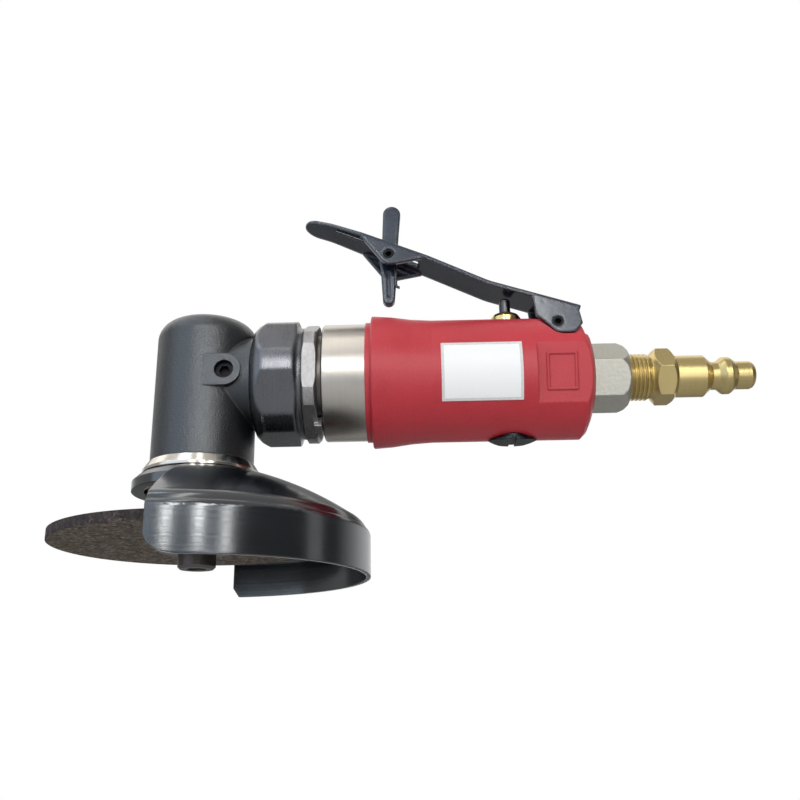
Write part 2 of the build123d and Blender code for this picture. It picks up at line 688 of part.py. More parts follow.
def bevel_wheel(teeth, mate, back, hub_r, hub_z, bore_r):
    """Bevel gear on Z with its cone's point at zero and its teeth below it."""
    cone, reach = gear_angles(teeth, mate)
    root_r = reach * math.sin(cone) - DEDENDUM * math.cos(cone)
    root_z = -reach * math.cos(cone) - DEDENDUM * math.sin(cone)
    scale = (reach - FACE_WIDTH) / reach
    back_z = root_z - back * math.cos(math.pi / 2 - cone)
    body = turned_z(
        (bore_r, root_z * scale),
        (root_r * scale, root_z * scale),
        (root_r, root_z),
        (root_r - back * math.cos(cone), back_z),
        (hub_r, back_z),
        (hub_r, hub_z),
        (bore_r, hub_z),
    )
    tooth = gear_tooth(cone, reach)
    return body.fuse(*[Rot(0, 0, 360 * i / teeth) * tooth for i in range(teeth)])


def key_block(grow):
    depth = KEY_DEPTH + grow
    half = KEY_WIDTH / 2 + grow
    top = GEAR_HUB_Z + KEY_LENGTH
    return block(-SHAFT_D / 2 - depth, -SHAFT_D / 2 + depth, -half, half, GEAR_HUB_Z, top + grow)


def bevel_gear():
    wheel = bevel_wheel(GEAR_TEETH, PINION_TEETH, GEAR_BACK, GEAR_HUB_D / 2, GEAR_HUB_Z, SHAFT_D / 2 + FIT)
    return wheel - key_block(FIT)


def gear_shim():
    top = GEAR_HUB_Z - FIT
    low = LOWER_SEAT_Z + SLIDE
    bore = SHAFT_D / 2 + FIT
    return turned_z((bore, top), (SHIM_D / 2, top), (SHIM_D / 2, low), (bore, low))


def bevel_pinion():
    hub_x = NECK_BEARING_X - SLIDE
    wheel = bevel_wheel(PINION_TEETH, GEAR_TEETH, PINION_BACK, SHAFT_D / 2 + PINION_HUB_WALL, -hub_x, 0)
    half_pitch = 180 / PINION_TEETH
    wheel = Rot(0, -90, 0) * Rot(0, 0, half_pitch) * wheel
    shaft_end = FRONT_PLATE_X - SHAFT_GAP[0]
    shaft = rod_x(hub_x, shaft_end, SHAFT_D / 2 - RUN)
    half = TANG / 2 + FIT
    socket = block(shaft_end - TANG_LENGTH - SOCKET_SPARE, shaft_end, -half, half, -half, half)
    return wheel + shaft - socket


def spindle():
    top = UPPER_SEAT_Z + SMALL_BEARING_WIDTH - FIT
    shaft_r = SHAFT_D / 2 - RUN
    shoulder_z = CAP_TOP_Z - SLIDE
    nose_z = WHEEL_TOP_Z + FIT
    body = turned_z(
        (0, top),
        (shaft_r - EDGE, top),
        (shaft_r, top - EDGE),
        (shaft_r, shoulder_z),
        (SPINDLE_BODY_D / 2, shoulder_z),
        (SPINDLE_BODY_D / 2, INNER_FLANGE_Z),
        (SPINDLE_NOSE_D / 2, INNER_FLANGE_Z),
        (SPINDLE_NOSE_D / 2, nose_z),
        (0, nose_z),
    )
    hole = rod_z(nose_z, SCREW_SEAT_Z + SCREW_LENGTH + PAST, SCREW_D / 2 + FIT)
    return body - key_block(FIT) - hole


def inner_flange():
    pilot_z = WHEEL_BOTTOM_Z + PILOT_SHORT
    bore = SPINDLE_NOSE_D / 2 + FIT
    return turned_z(
        (bore, INNER_FLANGE_Z - FIT),
        (FLANGE_D / 2 - INNER_FLANGE_BEVEL, INNER_FLANGE_Z - FIT),
        (FLANGE_D / 2, INNER_FLANGE_Z - INNER_FLANGE_BEVEL),
        (FLANGE_D / 2, WHEEL_TOP_Z),
        (WHEEL_BORE_D / 2 - FIT, WHEEL_TOP_Z),
        (WHEEL_BORE_D / 2 - FIT, pilot_z),
        (SCREW_D / 2 + FIT, pilot_z),
        (SCREW_D / 2 + FIT, WHEEL_TOP_Z),
        (bore, WHEEL_TOP_Z),
    )


def cutting_wheel():
    disc = rod_z(WHEEL_BOTTOM_Z, WHEEL_TOP_Z, WHEEL_D / 2)
    return disc - rod_z(WHEEL_BOTTOM_Z, WHEEL_TOP_Z, WHEEL_BORE_D / 2)


def outer_flange():
    return turned_z(
        (SCREW_D / 2 + FIT, WHEEL_BOTTOM_Z),
        (FLANGE_D / 2, WHEEL_BOTTOM_Z),
        (FLANGE_D / 2, SCREW_SEAT_Z + EDGE),
        (FLANGE_D / 2 - EDGE, SCREW_SEAT_Z),
        (SCREW_D / 2 + FIT, SCREW_SEAT_Z),
    )


def wheel_screw():
    bottom = SCREW_SEAT_Z - SCREW_HEAD_T
    screw = turned_z(
        (0, SCREW_SEAT_Z + SCREW_LENGTH),
        (SCREW_D / 2, SCREW_SEAT_Z + SCREW_LENGTH),
        (SCREW_D / 2, SCREW_SEAT_Z),
        (SCREW_HEAD_D / 2, SCREW_SEAT_Z),
        (SCREW_HEAD_D / 2, bottom + SCREW_EDGE),
        (SCREW_HEAD_D / 2 - SCREW_EDGE, bottom),
        (0, bottom),
    )
    socket = RegularPolygon(SCREW_SOCKET / 2, 6, major_radius=False)
    return screw - Pos(0, 0, bottom) * extrude(socket, SCREW_SOCKET_DEPTH)


def dome(inset):
    """Solid under the guard's dome, its surface moved in by inset."""
    start = Vector(DOME_START_R, GUARD_TOP_Z)
    deep, high = GUARD_BEAD
    skirt = Vector(GUARD_R - inset, GUARD_RIM_Z + SKIRT_HEIGHT)
    lean = math.radians(SHOULDER_LEAN)
    rise = Vector(-math.sin(lean), math.cos(lean))
    bead_top = Vector(GUARD_R - deep, skirt.Y + high) - Vector(rise.Y, -rise.X) * inset
    end = Vector(GUARD_R - SHOULDER_R, skirt.Y + SHOULDER_DROP)
    run = end - start
    out = Vector(-run.Y, run.X).normalized()
    middle = (start + end) / 2 + out * DOME_BULGE
    start -= Vector(0, inset)
    middle -= out * inset
    end -= out * inset
    swell = skirt + Vector(-deep * BEAD_SWELL[0], high * BEAD_SWELL[1])
    rim = Vector(skirt.X, GUARD_RIM_Z)
    outline = [
        Line((0, start.Y), start),
        ThreePointArc(start, middle, end),
        TangentArc(bead_top, end, tangent=rise),
        Line(bead_top, skirt) if inset else ThreePointArc(bead_top, swell, skirt),
        Line(skirt, rim),
        Line(rim, (0, rim.Y)),
        Line((0, rim.Y), (0, start.Y)),
    ]
    return revolve(Plane.XZ * make_face(outline), Axis.Z)


def wheel_guard():
    shell = dome(0) - dome(GUARD_WALL)
    shell &= block(0, GUARD_R * 2, -GUARD_R * 2, GUARD_R * 2, GUARD_RIM_Z, GUARD_TOP_Z)
    hub_r = GUARD_HUB_D / 2
    bore = CAP_R + RUN
    shell -= rod_z(GUARD_RIM_Z, GUARD_TOP_Z, bore)
    cup_r = CAP_FLANGE_D / 2 + FREE
    low = GUARD_TOP_Z - GUARD_HUB_DROP
    hub = turned_z(
        (bore, GUARD_TOP_Z),
        (DOME_START_R, GUARD_TOP_Z),
        (hub_r - GUARD_HUB_ROUND, GUARD_TOP_Z - GUARD_HUB_FALL),
        (hub_r, GUARD_TOP_Z - GUARD_HUB_FALL - GUARD_HUB_ROUND),
        (hub_r, low),
        (cup_r, low),
        (cup_r, GUARD_TOP_Z - GUARD_WALL),
        (bore, GUARD_TOP_Z - GUARD_WALL),
    )
    guard = shell + hub
    for corner, side in ((GUARD_NEAR_CORNER, -GUARD_R * 2), (GUARD_FAR_CORNER, GUARD_R * 2)):
        outline = [(back, GUARD_RIM_Z + up) for back, up in corner]
        guard -= side_plate(Polygon(*outline, (0, GUARD_RIM_Z), align=None), *sorted((0, side)))
    return Rot(0, 0, GUARD_TURN) * guard


def spindle_top_bearing():
    return bearing_z(UPPER_SEAT_Z + FIT, SMALL_BEARING_WIDTH, SHAFT_D / 2, SMALL_BEARING_D / 2)


def spindle_lower_bearing():
    return bearing_z(LOWER_SEAT_Z - LOWER_BEARING_WIDTH, LOWER_BEARING_WIDTH, SHAFT_D / 2, CASE_R - FIT)


def rotor_bearing(x0):
    return bearing_x(x0, SMALL_BEARING_WIDTH, SHAFT_D / 2, SMALL_BEARING_D / 2)


def pinion_bearing():
    return bearing_x(NECK_BEARING_X, NECK_BEARING_WIDTH, SHAFT_D / 2, NECK_BEARING_D / 2)


def motor_spacer():
    end = FRONT_PLATE_X - FIT
    return rod_x(SPACER_X, end, LINER_R) - rod_x(SPACER_X, end, LINER_R - SPACER_WALL)


def end_plate(x0, pocket_x, web_x):
    """Round plate with a bearing pocket on one side and a hole for the shaft."""
    plate = rod_x(x0, x0 + END_PLATE_T, LINER_R)
    plate -= rod_x(pocket_x, pocket_x + SMALL_BEARING_WIDTH + SLIDE, SMALL_BEARING_D / 2 + FIT)
    plate -= rod_x(web_x, web_x + PLATE_WEB, SHAFT_D / 2 + FREE)
    return plate - rod_x(x0, x0 + END_PLATE_T, DOWEL_D / 2 + FIT, 0, DOWEL_Z)


def front_end_plate():
    return end_plate(FRONT_PLATE_X, FRONT_PLATE_X, CYLINDER_X - PLATE_WEB)


def rear_end_plate():
    pocket = REAR_PLATE_X + END_PLATE_T - SMALL_BEARING_WIDTH - SLIDE
    plate = end_plate(REAR_PLATE_X, pocket, REAR_PLATE_X)
    return plate - rod_x(REAR_PLATE_X, GASKET_X, PORT_D / 2, 0, -DOWEL_Z)


def motor_cylinder():
    liner = rod_x(CYLINDER_X, REAR_PLATE_X, LINER_R)
    liner -= rod_x(CYLINDER_X, REAR_PLATE_X, CYLINDER_BORE_R, 0, -ECCENTRIC)
    liner -= rod_x(CYLINDER_X, REAR_PLATE_X, DOWEL_D / 2 + FIT, 0, DOWEL_Z)
    return liner - rod_y(-LINER_R, LINER_R, PORT_D / 2, CYLINDER_X + CYLINDER_LENGTH * PORT_AT)


def cylinder_dowel():
    return rod_x(FRONT_PLATE_X + PLATE_WEB, GASKET_X - PLATE_WEB, DOWEL_D / 2, 0, DOWEL_Z)


def rear_gasket():
    ring = rod_x(GASKET_X, GASKET_X + GASKET_T, LINER_R)
    ring -= rod_x(GASKET_X, GASKET_X + GASKET_T, SMALL_BEARING_D / 2 - GASKET_LAP)
    return ring - rod_x(GASKET_X, GASKET_X + GASKET_T, PORT_D / 2, 0, -DOWEL_Z)


def vane_slot(index, width, depth):
    """Block that reaches from the rotor's surface inwards along one vane's slot."""
    start = CYLINDER_X + FREE
    end = REAR_PLATE_X - FREE
    slot = block(start, end, -width / 2, width / 2, ROTOR_R - depth, ROTOR_R + PAST)
    return Rot(360 * (index + 0.5) / VANE_COUNT, 0, 0) * slot


def rotor():
    shaft_r = SHAFT_D / 2 - RUN
    body = rod_x(CYLINDER_X + FREE, REAR_PLATE_X - FREE, ROTOR_R)
    for index in range(VANE_COUNT):
        body -= vane_slot(index, VANE_T + SLIDE, VANE_DEPTH + SLIDE)
    pinion_end, shaft_end = (FRONT_PLATE_X - gap for gap in SHAFT_GAP)
    body += rod_x(shaft_end, GASKET_X - SLIDE, shaft_r)
    tang_x = pinion_end - TANG_LENGTH
    return body + block(tang_x, FRONT_PLATE_X, -TANG / 2, TANG / 2, -TANG / 2, TANG / 2)


def rotor_vane(index):
    return vane_slot(index, VANE_T, VANE_DEPTH) & rod_x(CYLINDER_X, REAR_PLATE_X, ROTOR_R)


def valve_bush():
    top = GRIP_R + BUSH_TOP
    r = BUSH_D / 2
    seal_z = BODY_R - BUSH_SEAL_DEPTH
    outline = [
        (STEM_D / 2 + RUN, BUSH_BOTTOM_Z),
        (r, BUSH_BOTTOM_Z),
        (r, seal_z - O_RING),
        (r - GROOVE_DEPTH, seal_z - O_RING),
        (r - GROOVE_DEPTH, seal_z + O_RING),
        (r, seal_z + O_RING),
        (r, top - BUSH_DOME),
        (r * 0.87, top - BUSH_DOME * 0.5),
        (r * 0.6, top - BUSH_DOME * 0.15),
        (STEM_D / 2 + RUN, top),
    ]
    return turned_z(*outline, x=VALVE_X)


def bush_seal():
    return o_ring_z(BODY_R - BUSH_SEAL_DEPTH, BUSH_D / 2 - O_RING / 2, VALVE_X)


def lever_top(distance):
    """Height of the lever's top face above the pivot, that far in front of it."""
    slope = math.tan(math.radians(LEVER_REAR[1]))
    return LEVER_BACK[1] + (LEVER_BACK[0] + distance) * slope


def valve_stem():
    lever_under = PIVOT_Z + lever_top(PIVOT_X - VALVE_X) - LEVER_T / math.cos(math.radians(LEVER_REAR[1]))
    tip = lever_under - STEM_GAP - STEM_D / 2 * math.tan(math.radians(LEVER_REAR[1]))
    r = STEM_D / 2
    head_top = BUSH_BOTTOM_Z - SLIDE - SEAL_T - FIT
    return turned_z(
        (0, tip),
        (r * STEM_POINT[0], tip),
        (r, tip - STEM_POINT[1]),
        (r, head_top),
        (STEM_HEAD_D / 2, head_top),
        (STEM_HEAD_D / 2, head_top - STEM_HEAD_T),
        (0, head_top - STEM_HEAD_T),
        x=VALVE_X,
    )


def valve_seal():
    top = BUSH_BOTTOM_Z - SLIDE
    low = top - SEAL_T
    bore = STEM_D / 2 + FIT
    outer = STEM_HEAD_D / 2
    return turned_z((bore, low), (outer, low), (outer - SEAL_TAPER, top), (bore, top), x=VALVE_X)


def biarc(start, start_dir, end, end_dir):
    """Two arcs, tangent to each other, from start to end with those directions."""
    chord = end - start
    both = start_dir + end_dir
    a = 4 - both.dot(both)
    b = chord.dot(both)
    reach = (-b + math.sqrt(b * b + a * chord.dot(chord))) / a
    first = start + start_dir * reach
    last = end - end_dir * reach
    middle = (first + last) / 2
    return [TangentArc(start, middle, tangent=start_dir), TangentArc(middle, end, tangent=last - first)]


def wire_form(name, edges, wire_d):
    """Round wire swept along edges; prints its least gap to itself."""
    path = Wire(edges)
    start = path @ 0
    section = Plane(origin=start, z_dir=path % 0) * Circle(wire_d / 2)
    count = max(200, int(path.length / (wire_d * 0.3)))
    points = [path @ (i / count) for i in range(count + 1)]
    apart = int(count * wire_d * 4 / path.length)
    gap = min((points[i] - points[j]).length for i in range(count + 1) for j in range(i + apart, count + 1))
    print(f"{name}: least gap to itself {gap - wire_d:.2f} mm, wire length {path.length:.1f} mm")
    return sweep(section, path=path)


def valve_spring():
    low = REGULATOR_TOP_Z - REGULATOR_CUP + SPRING_WIRE / 2 + SLIDE
    high = BUSH_BOTTOM_Z - SLIDE - SEAL_T - FIT - STEM_HEAD_T - SPRING_WIRE / 2 - SLIDE
    r = SPRING_D / 2 - SPRING_WIRE / 2
    steps = SPRING_TURNS * 4
    rise = (high - low) / steps
    places = []
    for i in range(steps + 1):
        angle = math.pi / 2 * i
        spot = Vector(VALVE_X + r * math.cos(angle), r * math.sin(angle), low + rise * i)
        way = Vector(-r * math.sin(angle), r * math.cos(angle), rise / (math.pi / 2)).normalized()
        places.append((spot, way))
    edges = []
    for (spot, way), (next_spot, next_way) in zip(places, places[1:]):
        edges += biarc(spot, way, next_spot, next_way)
    return wire_form("valve_spring", edges, SPRING_WIRE)


def thumb_bar(low, top):
    """Pointed bar across the regulator's end, thinner towards both tips."""
    tip, flat = (length / 2 for length in REGULATOR_BAR)
    near = ThreePointArc((-tip, 0), (0, -REGULATOR_R), (tip, 0))
    far = ThreePointArc((tip, 0), (0, REGULATOR_R), (-tip, 0))
    plan = Pos(VALVE_X, 0, low) * extrude(make_face([near, far]), top - low)
    tip_z = top - REGULATOR_BAR_TIP
    side = Polygon(
        (-tip, top),
        (-tip, tip_z),
        (-flat, low),
        (flat, low),
        (tip, tip_z),
        (tip, top),
        align=None,
    )
    return plan & side_plate(Pos(VALVE_X, 0) * side, -REGULATOR_R, REGULATOR_R)


def flow_regulator():
    r = REGULATOR_R
    low = -GRIP_R - REGULATOR_PROUD
    bar_top = -GRIP_R - REGULATOR_BAR_GAP
    seal_low = REGULATOR_SEAL_Z - O_RING * 0.7
    seal_high = REGULATOR_SEAL_Z + O_RING * 0.7
    ring_low = REGULATOR_RING_Z - RING_T
    ring_high = REGULATOR_RING_Z + RING_T
    knob = turned_z(
        (0, REGULATOR_TOP_Z),
        (r, REGULATOR_TOP_Z),
        (r, seal_high),
        (r - GROOVE_DEPTH, seal_high),
        (r - GROOVE_DEPTH, seal_low),
        (r, seal_low),
        (r, ring_high),
        (r - GROOVE_DEPTH, ring_high),
        (r - GROOVE_DEPTH, ring_low),
        (r, ring_low),
        (r, bar_top),
        (0, bar_top),
        x=VALVE_X,
    )
    knob += thumb_bar(low, bar_top)
    knob -= rod_z(REGULATOR_TOP_Z - REGULATOR_CUP, REGULATOR_TOP_Z, SPRING_D / 2 + FREE, VALVE_X)
    width, depth = REGULATOR_SLOT
    slot_front = VALVE_X - width / 2
    return knob - block(slot_front, slot_front + width, -r - PAST, r + PAST, low - PAST, low + depth)


def regulator_seal():
    return o_ring_z(REGULATOR_SEAL_Z, REGULATOR_R - O_RING / 2 - FIT, VALVE_X)


def regulator_ring():
    inner = REGULATOR_R - GROOVE_DEPTH + RING_SPRUNG
    outer = REGULATOR_R + GROOVE_DEPTH - FIT
    low = REGULATOR_RING_Z - RING_T / 2
    high = REGULATOR_RING_Z + RING_T / 2
    ring = rod_z(low, high, outer, VALVE_X) - rod_z(low, high, inner, VALVE_X)
    half = RING_OPENING / 2
    return ring - block(VALVE_X, VALVE_X + outer, -half, half, low, high)


def inlet_bushing():
    corner_r = INLET_FLATS / math.sqrt(3)
    end = INLET_X + INLET_HEX_LENGTH
    hexagon = hex_bar(INLET_X, end, INLET_FLATS, corner_r, INLET_FRONT_END, INLET_END, HOSE_END_TURN)
    body = hexagon + rod_x(SPIGOT_X, INLET_X, INLET_SPIGOT_D / 2)
    body -= rod_x(SPIGOT_X, end, INLET_BORE_D / 2)
    return body - rod_x(PLUG_X - PLUG_THREAD_IN - FREE, end, PLUG_THREAD_D / 2 + FIT)


def inlet_seal():
    r = INLET_SPIGOT_D / 2 - INLET_SEAL_INSET
    return Pos(SPIGOT_X - INLET_SEAL_ROOM / 2, 0, 0) * Rot(0, 90, 0) * Torus(r, O_RING / 2)


def inlet_screen():
    start = SPIGOT_X + SCREEN_INSET
    disc = rod_x(start, start + SCREEN_T, INLET_BORE_D / 2 - FIT)
    for ring_r, count in ((0, 1), (SCREEN_RING_R, SCREEN_HOLES)):
        for i in range(count):
            angle = 2 * math.pi * i / count
            hole_y = ring_r * math.cos(angle)
            hole_z = ring_r * math.sin(angle)
            disc -= rod_x(start, start + SCREEN_T, SCREEN_HOLE_D / 2, hole_y, hole_z)
    return disc


def exhaust_felt():
    start = HOUSING_END_X + FIT
    end = GRIP_END_X - REAR_WALL - FIT
    inner = INLET_BOSS_R + FIT
    ring = rod_x(start, end, BODY_R - FIT) - rod_x(start, end, inner)
    floor = PIVOT_Z - NOTCH_FLOOR - SPINE_WALL - FIT
    return ring - block(start, end, -BODY_R, BODY_R, floor, BODY_R)


def plug_thread():
    """Outline of the plug's thread, as ridges from its inner end to its hexagon."""
    start = PLUG_X - PLUG_THREAD_IN
    end = PLUG_X + PLUG_THREAD_SHOWN
    top = PLUG_THREAD_D / 2
    count = int((end - start) / PLUG_THREAD_PITCH)
    flank = PLUG_THREAD_PITCH * PLUG_THREAD_FLANK
    outline = []
    for i in range(count):
        x = start + i * PLUG_THREAD_PITCH
        outline.append((x, top - PLUG_THREAD_DEPTH))
        outline.append((x + flank, top))
        outline.append((x + PLUG_THREAD_PITCH - flank, top))
    outline.append((end, top - PLUG_THREAD_DEPTH))
    return outline


def hose_plug():
    hex_x = PLUG_X + PLUG_THREAD_SHOWN
    body_x = hex_x + PLUG_HEX_LENGTH
    body_r = PLUG_BODY_D / 2
    chamfer_x = body_x + PLUG_BODY_LENGTH
    groove_x = chamfer_x + PLUG_CHAMFER
    ridge_x = groove_x + PLUG_GROOVE_LENGTH
    nose_x = ridge_x + PLUG_RIDGE_LENGTH
    end_x = nose_x + PLUG_NOSE_LENGTH
    groove_r = PLUG_GROOVE_D / 2
    ridge_r = PLUG_RIDGE_D / 2
    rise, fall = PLUG_RIDGE_FLANKS
    long, deep = PLUG_NOSE_ROUND
    stem = turned_x(
        (PLUG_X - PLUG_THREAD_IN, 0),
        *plug_thread(),
        (hex_x, body_r),
        (chamfer_x, body_r),
        (groove_x, groove_r),
        (ridge_x, groove_r),
        (ridge_x + rise, ridge_r),
        (nose_x - fall, ridge_r),
        (nose_x, groove_r),
        (end_x - long, groove_r),
        (end_x - long * 0.4, groove_r - deep * 0.35),
        (end_x, groove_r - deep),
        (end_x, 0),
    )
    rims = [edge for edge in stem.edges().filter_by(GeomType.CIRCLE) if abs(edge.radius - ridge_r) < SLIDE]
    stem = fillet(rims, PLUG_RIDGE_ROUND)
    hex_r = PLUG_FLATS / math.sqrt(3)
    hexagon = hex_bar(hex_x, body_x, PLUG_FLATS, hex_r, PLUG_HEX_END, PLUG_HEX_END, PLUG_HEX_TURN)
    return stem + hexagon - rod_x(PLUG_X - PLUG_THREAD_IN, end_x, PLUG_BORE_D / 2)


def lever_line():
    """Top line of the lever from its rear corner to its tip, in X and Z."""
    points = [Vector(PIVOT_X + LEVER_BACK[0], PIVOT_Z + LEVER_BACK[1])]
    for length, slope in (LEVER_REAR, LEVER_MIDDLE, LEVER_FRONT, LEVER_TIP):
        turn = math.radians(slope)
        points.append(points[-1] + Vector(-math.cos(turn), math.sin(turn)) * length)
    return points


def web_outline():
    """Side outline of the lever's sheet, of even thickness under its top line."""
    top = lever_line()
    under = []
    for i, point in enumerate(top):
        before = top[max(i - 1, 0)]
        after = top[min(i + 1, len(top) - 1)]
        way = (after - before).normalized()
        under.append(point + Vector(-way.Y, way.X) * LEVER_T)
    upper = FilletPolyline(*top, radius=LEVER_BEND)
    lower = FilletPolyline(*under, radius=LEVER_BEND)
    return make_face([upper, Line(top[-1], under[-1]), lower, Line(under[0], top[0])])


def top_edges(sheet):
    """Edges that run round the top of a bent sheet."""
    tops = [face for face in sheet.faces() if face.normal_at().Z > 0.5]
    edges = [edge for face in tops for edge in face.edges()]
    return [edge for edge in edges if edges.count(edge) == 1]


def lever_plan():
    """Plan outline of the lever, narrower towards its rounded tip."""
    half = LEVER_WIDTH / 2
    tip_r = half - LEVER_TAPER
    tip_x = lever_line()[-1].X + tip_r
    wide_x = LATCH_X - LATCH_EAR_FRONT
    back = PIVOT_X + LEVER_BACK[0] + PAST
    outline = Polygon(
        (tip_x, -tip_r),
        (wide_x, -half),
        (back, -half),
        (back, half),
        (wide_x, half),
        (tip_x, tip_r),
        align=None,
    )
    return outline + Pos(tip_x, 0) * Circle(tip_r)


def rear_ear():
    x, z = PIVOT_X, PIVOT_Z
    top = lever_line()
    sunk = LEVER_EDGE + SLIDE
    front_top = z + lever_top(EAR_FRONT) - sunk
    outline = make_face(
        Polyline(
            (top[0].X - sunk, top[0].Y - sunk),
            (x - EAR_FRONT, front_top),
            (x - EAR_THROAT[0], z + EAR_THROAT[1]),
            (x - EAR_TOE, z - EAR_DEPTH),
            (x + LEVER_BACK[0] - EAR_HEEL[0], z - EAR_DEPTH),
            (x + LEVER_BACK[0], z - EAR_DEPTH + EAR_HEEL[1]),
            close=True,
        )
    )
    return fillet(outline.vertices().group_by(Axis.Y)[0], EAR_ROUND)


def latch_ear():
    x, z = LATCH_X, LATCH_Z
    slope = math.tan(math.radians(LEVER_FRONT[1]))
    line = lever_line()
    bend = line[2]
    front = x - LATCH_EAR_FRONT
    rear = x + LATCH_EAR_REAR
    front_z = bend.Y + (bend.X - front) * slope - LEVER_T
    rear_z = bend.Y + (bend.X - rear) * slope - LEVER_T
    lift = LEVER_T / 4
    outline = make_face(
        Polyline(
            (front, front_z + lift),
            (rear, rear_z + lift),
            (rear, rear_z - lift),
            (x + LATCH_EAR_TIP, z - LATCH_EAR_R),
            (x - LATCH_EAR_TIP, z - LATCH_EAR_R),
            (front, front_z - lift),
            close=True,
        )
    )
    return fillet(outline.vertices().group_by(Axis.Y)[0], LATCH_EAR_ROUND)


def throttle_lever():
    half = LEVER_WIDTH / 2
    web = side_plate(web_outline(), -half, half)
    web &= extrude(lever_plan(), LATCH_Z * 2)
    web = fillet(top_edges(web), LEVER_EDGE)
    slot = LATCH_T / 2 + FREE
    front = LATCH_X - LATCH_SLOT_FRONT
    rear = LATCH_X + LATCH_SLOT_REAR
    lever = web - block(front, rear, -slot, slot, PIVOT_Z, LATCH_Z * 2)
    for low in (-half, EAR_Y):
        lever += side_plate(rear_ear(), low, low + EAR_T)
        lever += side_plate(latch_ear(), low, low + EAR_T)
    lever -= rod_y(-half, half, PIVOT_PIN_D / 2 + RUN, PIVOT_X, PIVOT_Z)
    return lever - rod_y(-half, half, LATCH_PIN_D / 2 + FIT, LATCH_X, LATCH_Z)


def hollow_pin(x, z, d):
    half = LEVER_WIDTH / 2
    return rod_y(-half, half, d / 2, x, z) - rod_y(-half, half, d / 2 - PIN_WALL, x, z)


def lever_pin():
    return hollow_pin(PIVOT_X, PIVOT_Z, PIVOT_PIN_D)


def latch_pin():
    return hollow_pin(LATCH_X, LATCH_Z, LATCH_PIN_D)


def arm_outline(start, end, start_w, end_w):
    """Tapered arm in X and Z with a round end."""
    run = end - start
    side = Vector(-run.Y, run.X).normalized()
    arm = make_face(
        Polyline(
            start + side * (start_w / 2),
            end + side * (end_w / 2),
            end - side * (end_w / 2),
            start - side * (start_w / 2),
            close=True,
        )
    )
    return arm + Pos(end.X, end.Y) * Circle(end_w / 2)


def safety_latch():
    centre = Vector(LATCH_X, LATCH_Z)
    finger_end = centre + Vector(LATCH_FINGER_LEAN, LATCH_FINGER)
    foot_end = centre + Vector(LATCH_FOOT_LEAN, -LATCH_FOOT)
    finger_waist, foot_waist = LATCH_WAIST
    outline = arm_outline(centre, finger_end, LATCH_FINGER_W - finger_waist, LATCH_FINGER_W)
    outline += arm_outline(centre, foot_end, LATCH_HUB_D - foot_waist, LATCH_FOOT_W)
    outline += Pos(LATCH_X, LATCH_Z) * Circle(LATCH_HUB_D / 2)
    half = LATCH_T / 2
    latch = side_plate(outline, -half, half)
    faces = latch.faces().filter_by(Axis.Y)
    latch = fillet(faces.edges(), LATCH_EDGE)
    width, depth = LATCH_FLUTE
    flute_top = LATCH_Z - LATCH_HUB_D / 2 - LATCH_FLUTE_ENDS[0]
    flute_low = LATCH_Z - LATCH_FOOT + LATCH_FLUTE_ENDS[1]
    flute_x = foot_end.X - width / 2
    for low, high in ((-half, -half + depth), (half - depth, half)):
        latch -= block(flute_x, flute_x + width, low, high, flute_low, flute_top)
    return latch - rod_y(-half, half, LATCH_PIN_D / 2 + RUN, LATCH_X, LATCH_Z)


def latch_spring():
    """Wire spring round the latch's pin: one leg under the lever, one behind the latch's foot."""
    slope = math.radians(LEVER_FRONT[1])
    leg_way = Vector(math.cos(slope), 0, -math.sin(slope))
    out = Vector(math.sin(slope), 0, math.cos(slope))
    line = lever_line()
    rise = (Vector(line[2].X - LATCH_X, 0, line[2].Y - LATCH_Z)).dot(out)
    r = rise - LEVER_T - TORSION_WIRE / 2 - SLIDE
    start_y = -EAR_Y + TORSION_WIRE / 2 + SLIDE
    end_y = -LATCH_T / 2 - TORSION_WIRE / 2 - TORSION_GAP
    centre = Vector(LATCH_X, 0, LATCH_Z)
    start_angle = math.pi / 2 - slope
    sweep_angle = start_angle + 2 * math.pi
    places = []
    for i in range(TORSION_STEPS + 1):
        share = i / TORSION_STEPS
        angle = start_angle - sweep_angle * share
        lift = (end_y - start_y) / sweep_angle if 0 < i < TORSION_STEPS else 0.0
        y = start_y + (end_y - start_y) * share
        spot = centre + Vector(r * math.cos(angle), y, r * math.sin(angle))
        way = Vector(r * math.sin(angle), lift, -r * math.cos(angle)).normalized()
        places.append((spot, way))
    first = places[0][0]
    edges = [Line(first - leg_way * TORSION_LEG, first)]
    for (spot, way), (next_spot, next_way) in zip(places, places[1:]):
        edges += biarc(spot, way, next_spot, next_way)
    drop_end = places[-1][0] + Vector(0, 0, -TORSION_DROP)
    hook_end = drop_end + Vector(TORSION_HOOK, 0, -TORSION_HOOK)
    edges.append(Line(places[-1][0], drop_end))
    edges.append(TangentArc(drop_end, hook_end, tangent=(0, 0, -1)))
    return wire_form("latch_spring", edges, TORSION_WIRE)


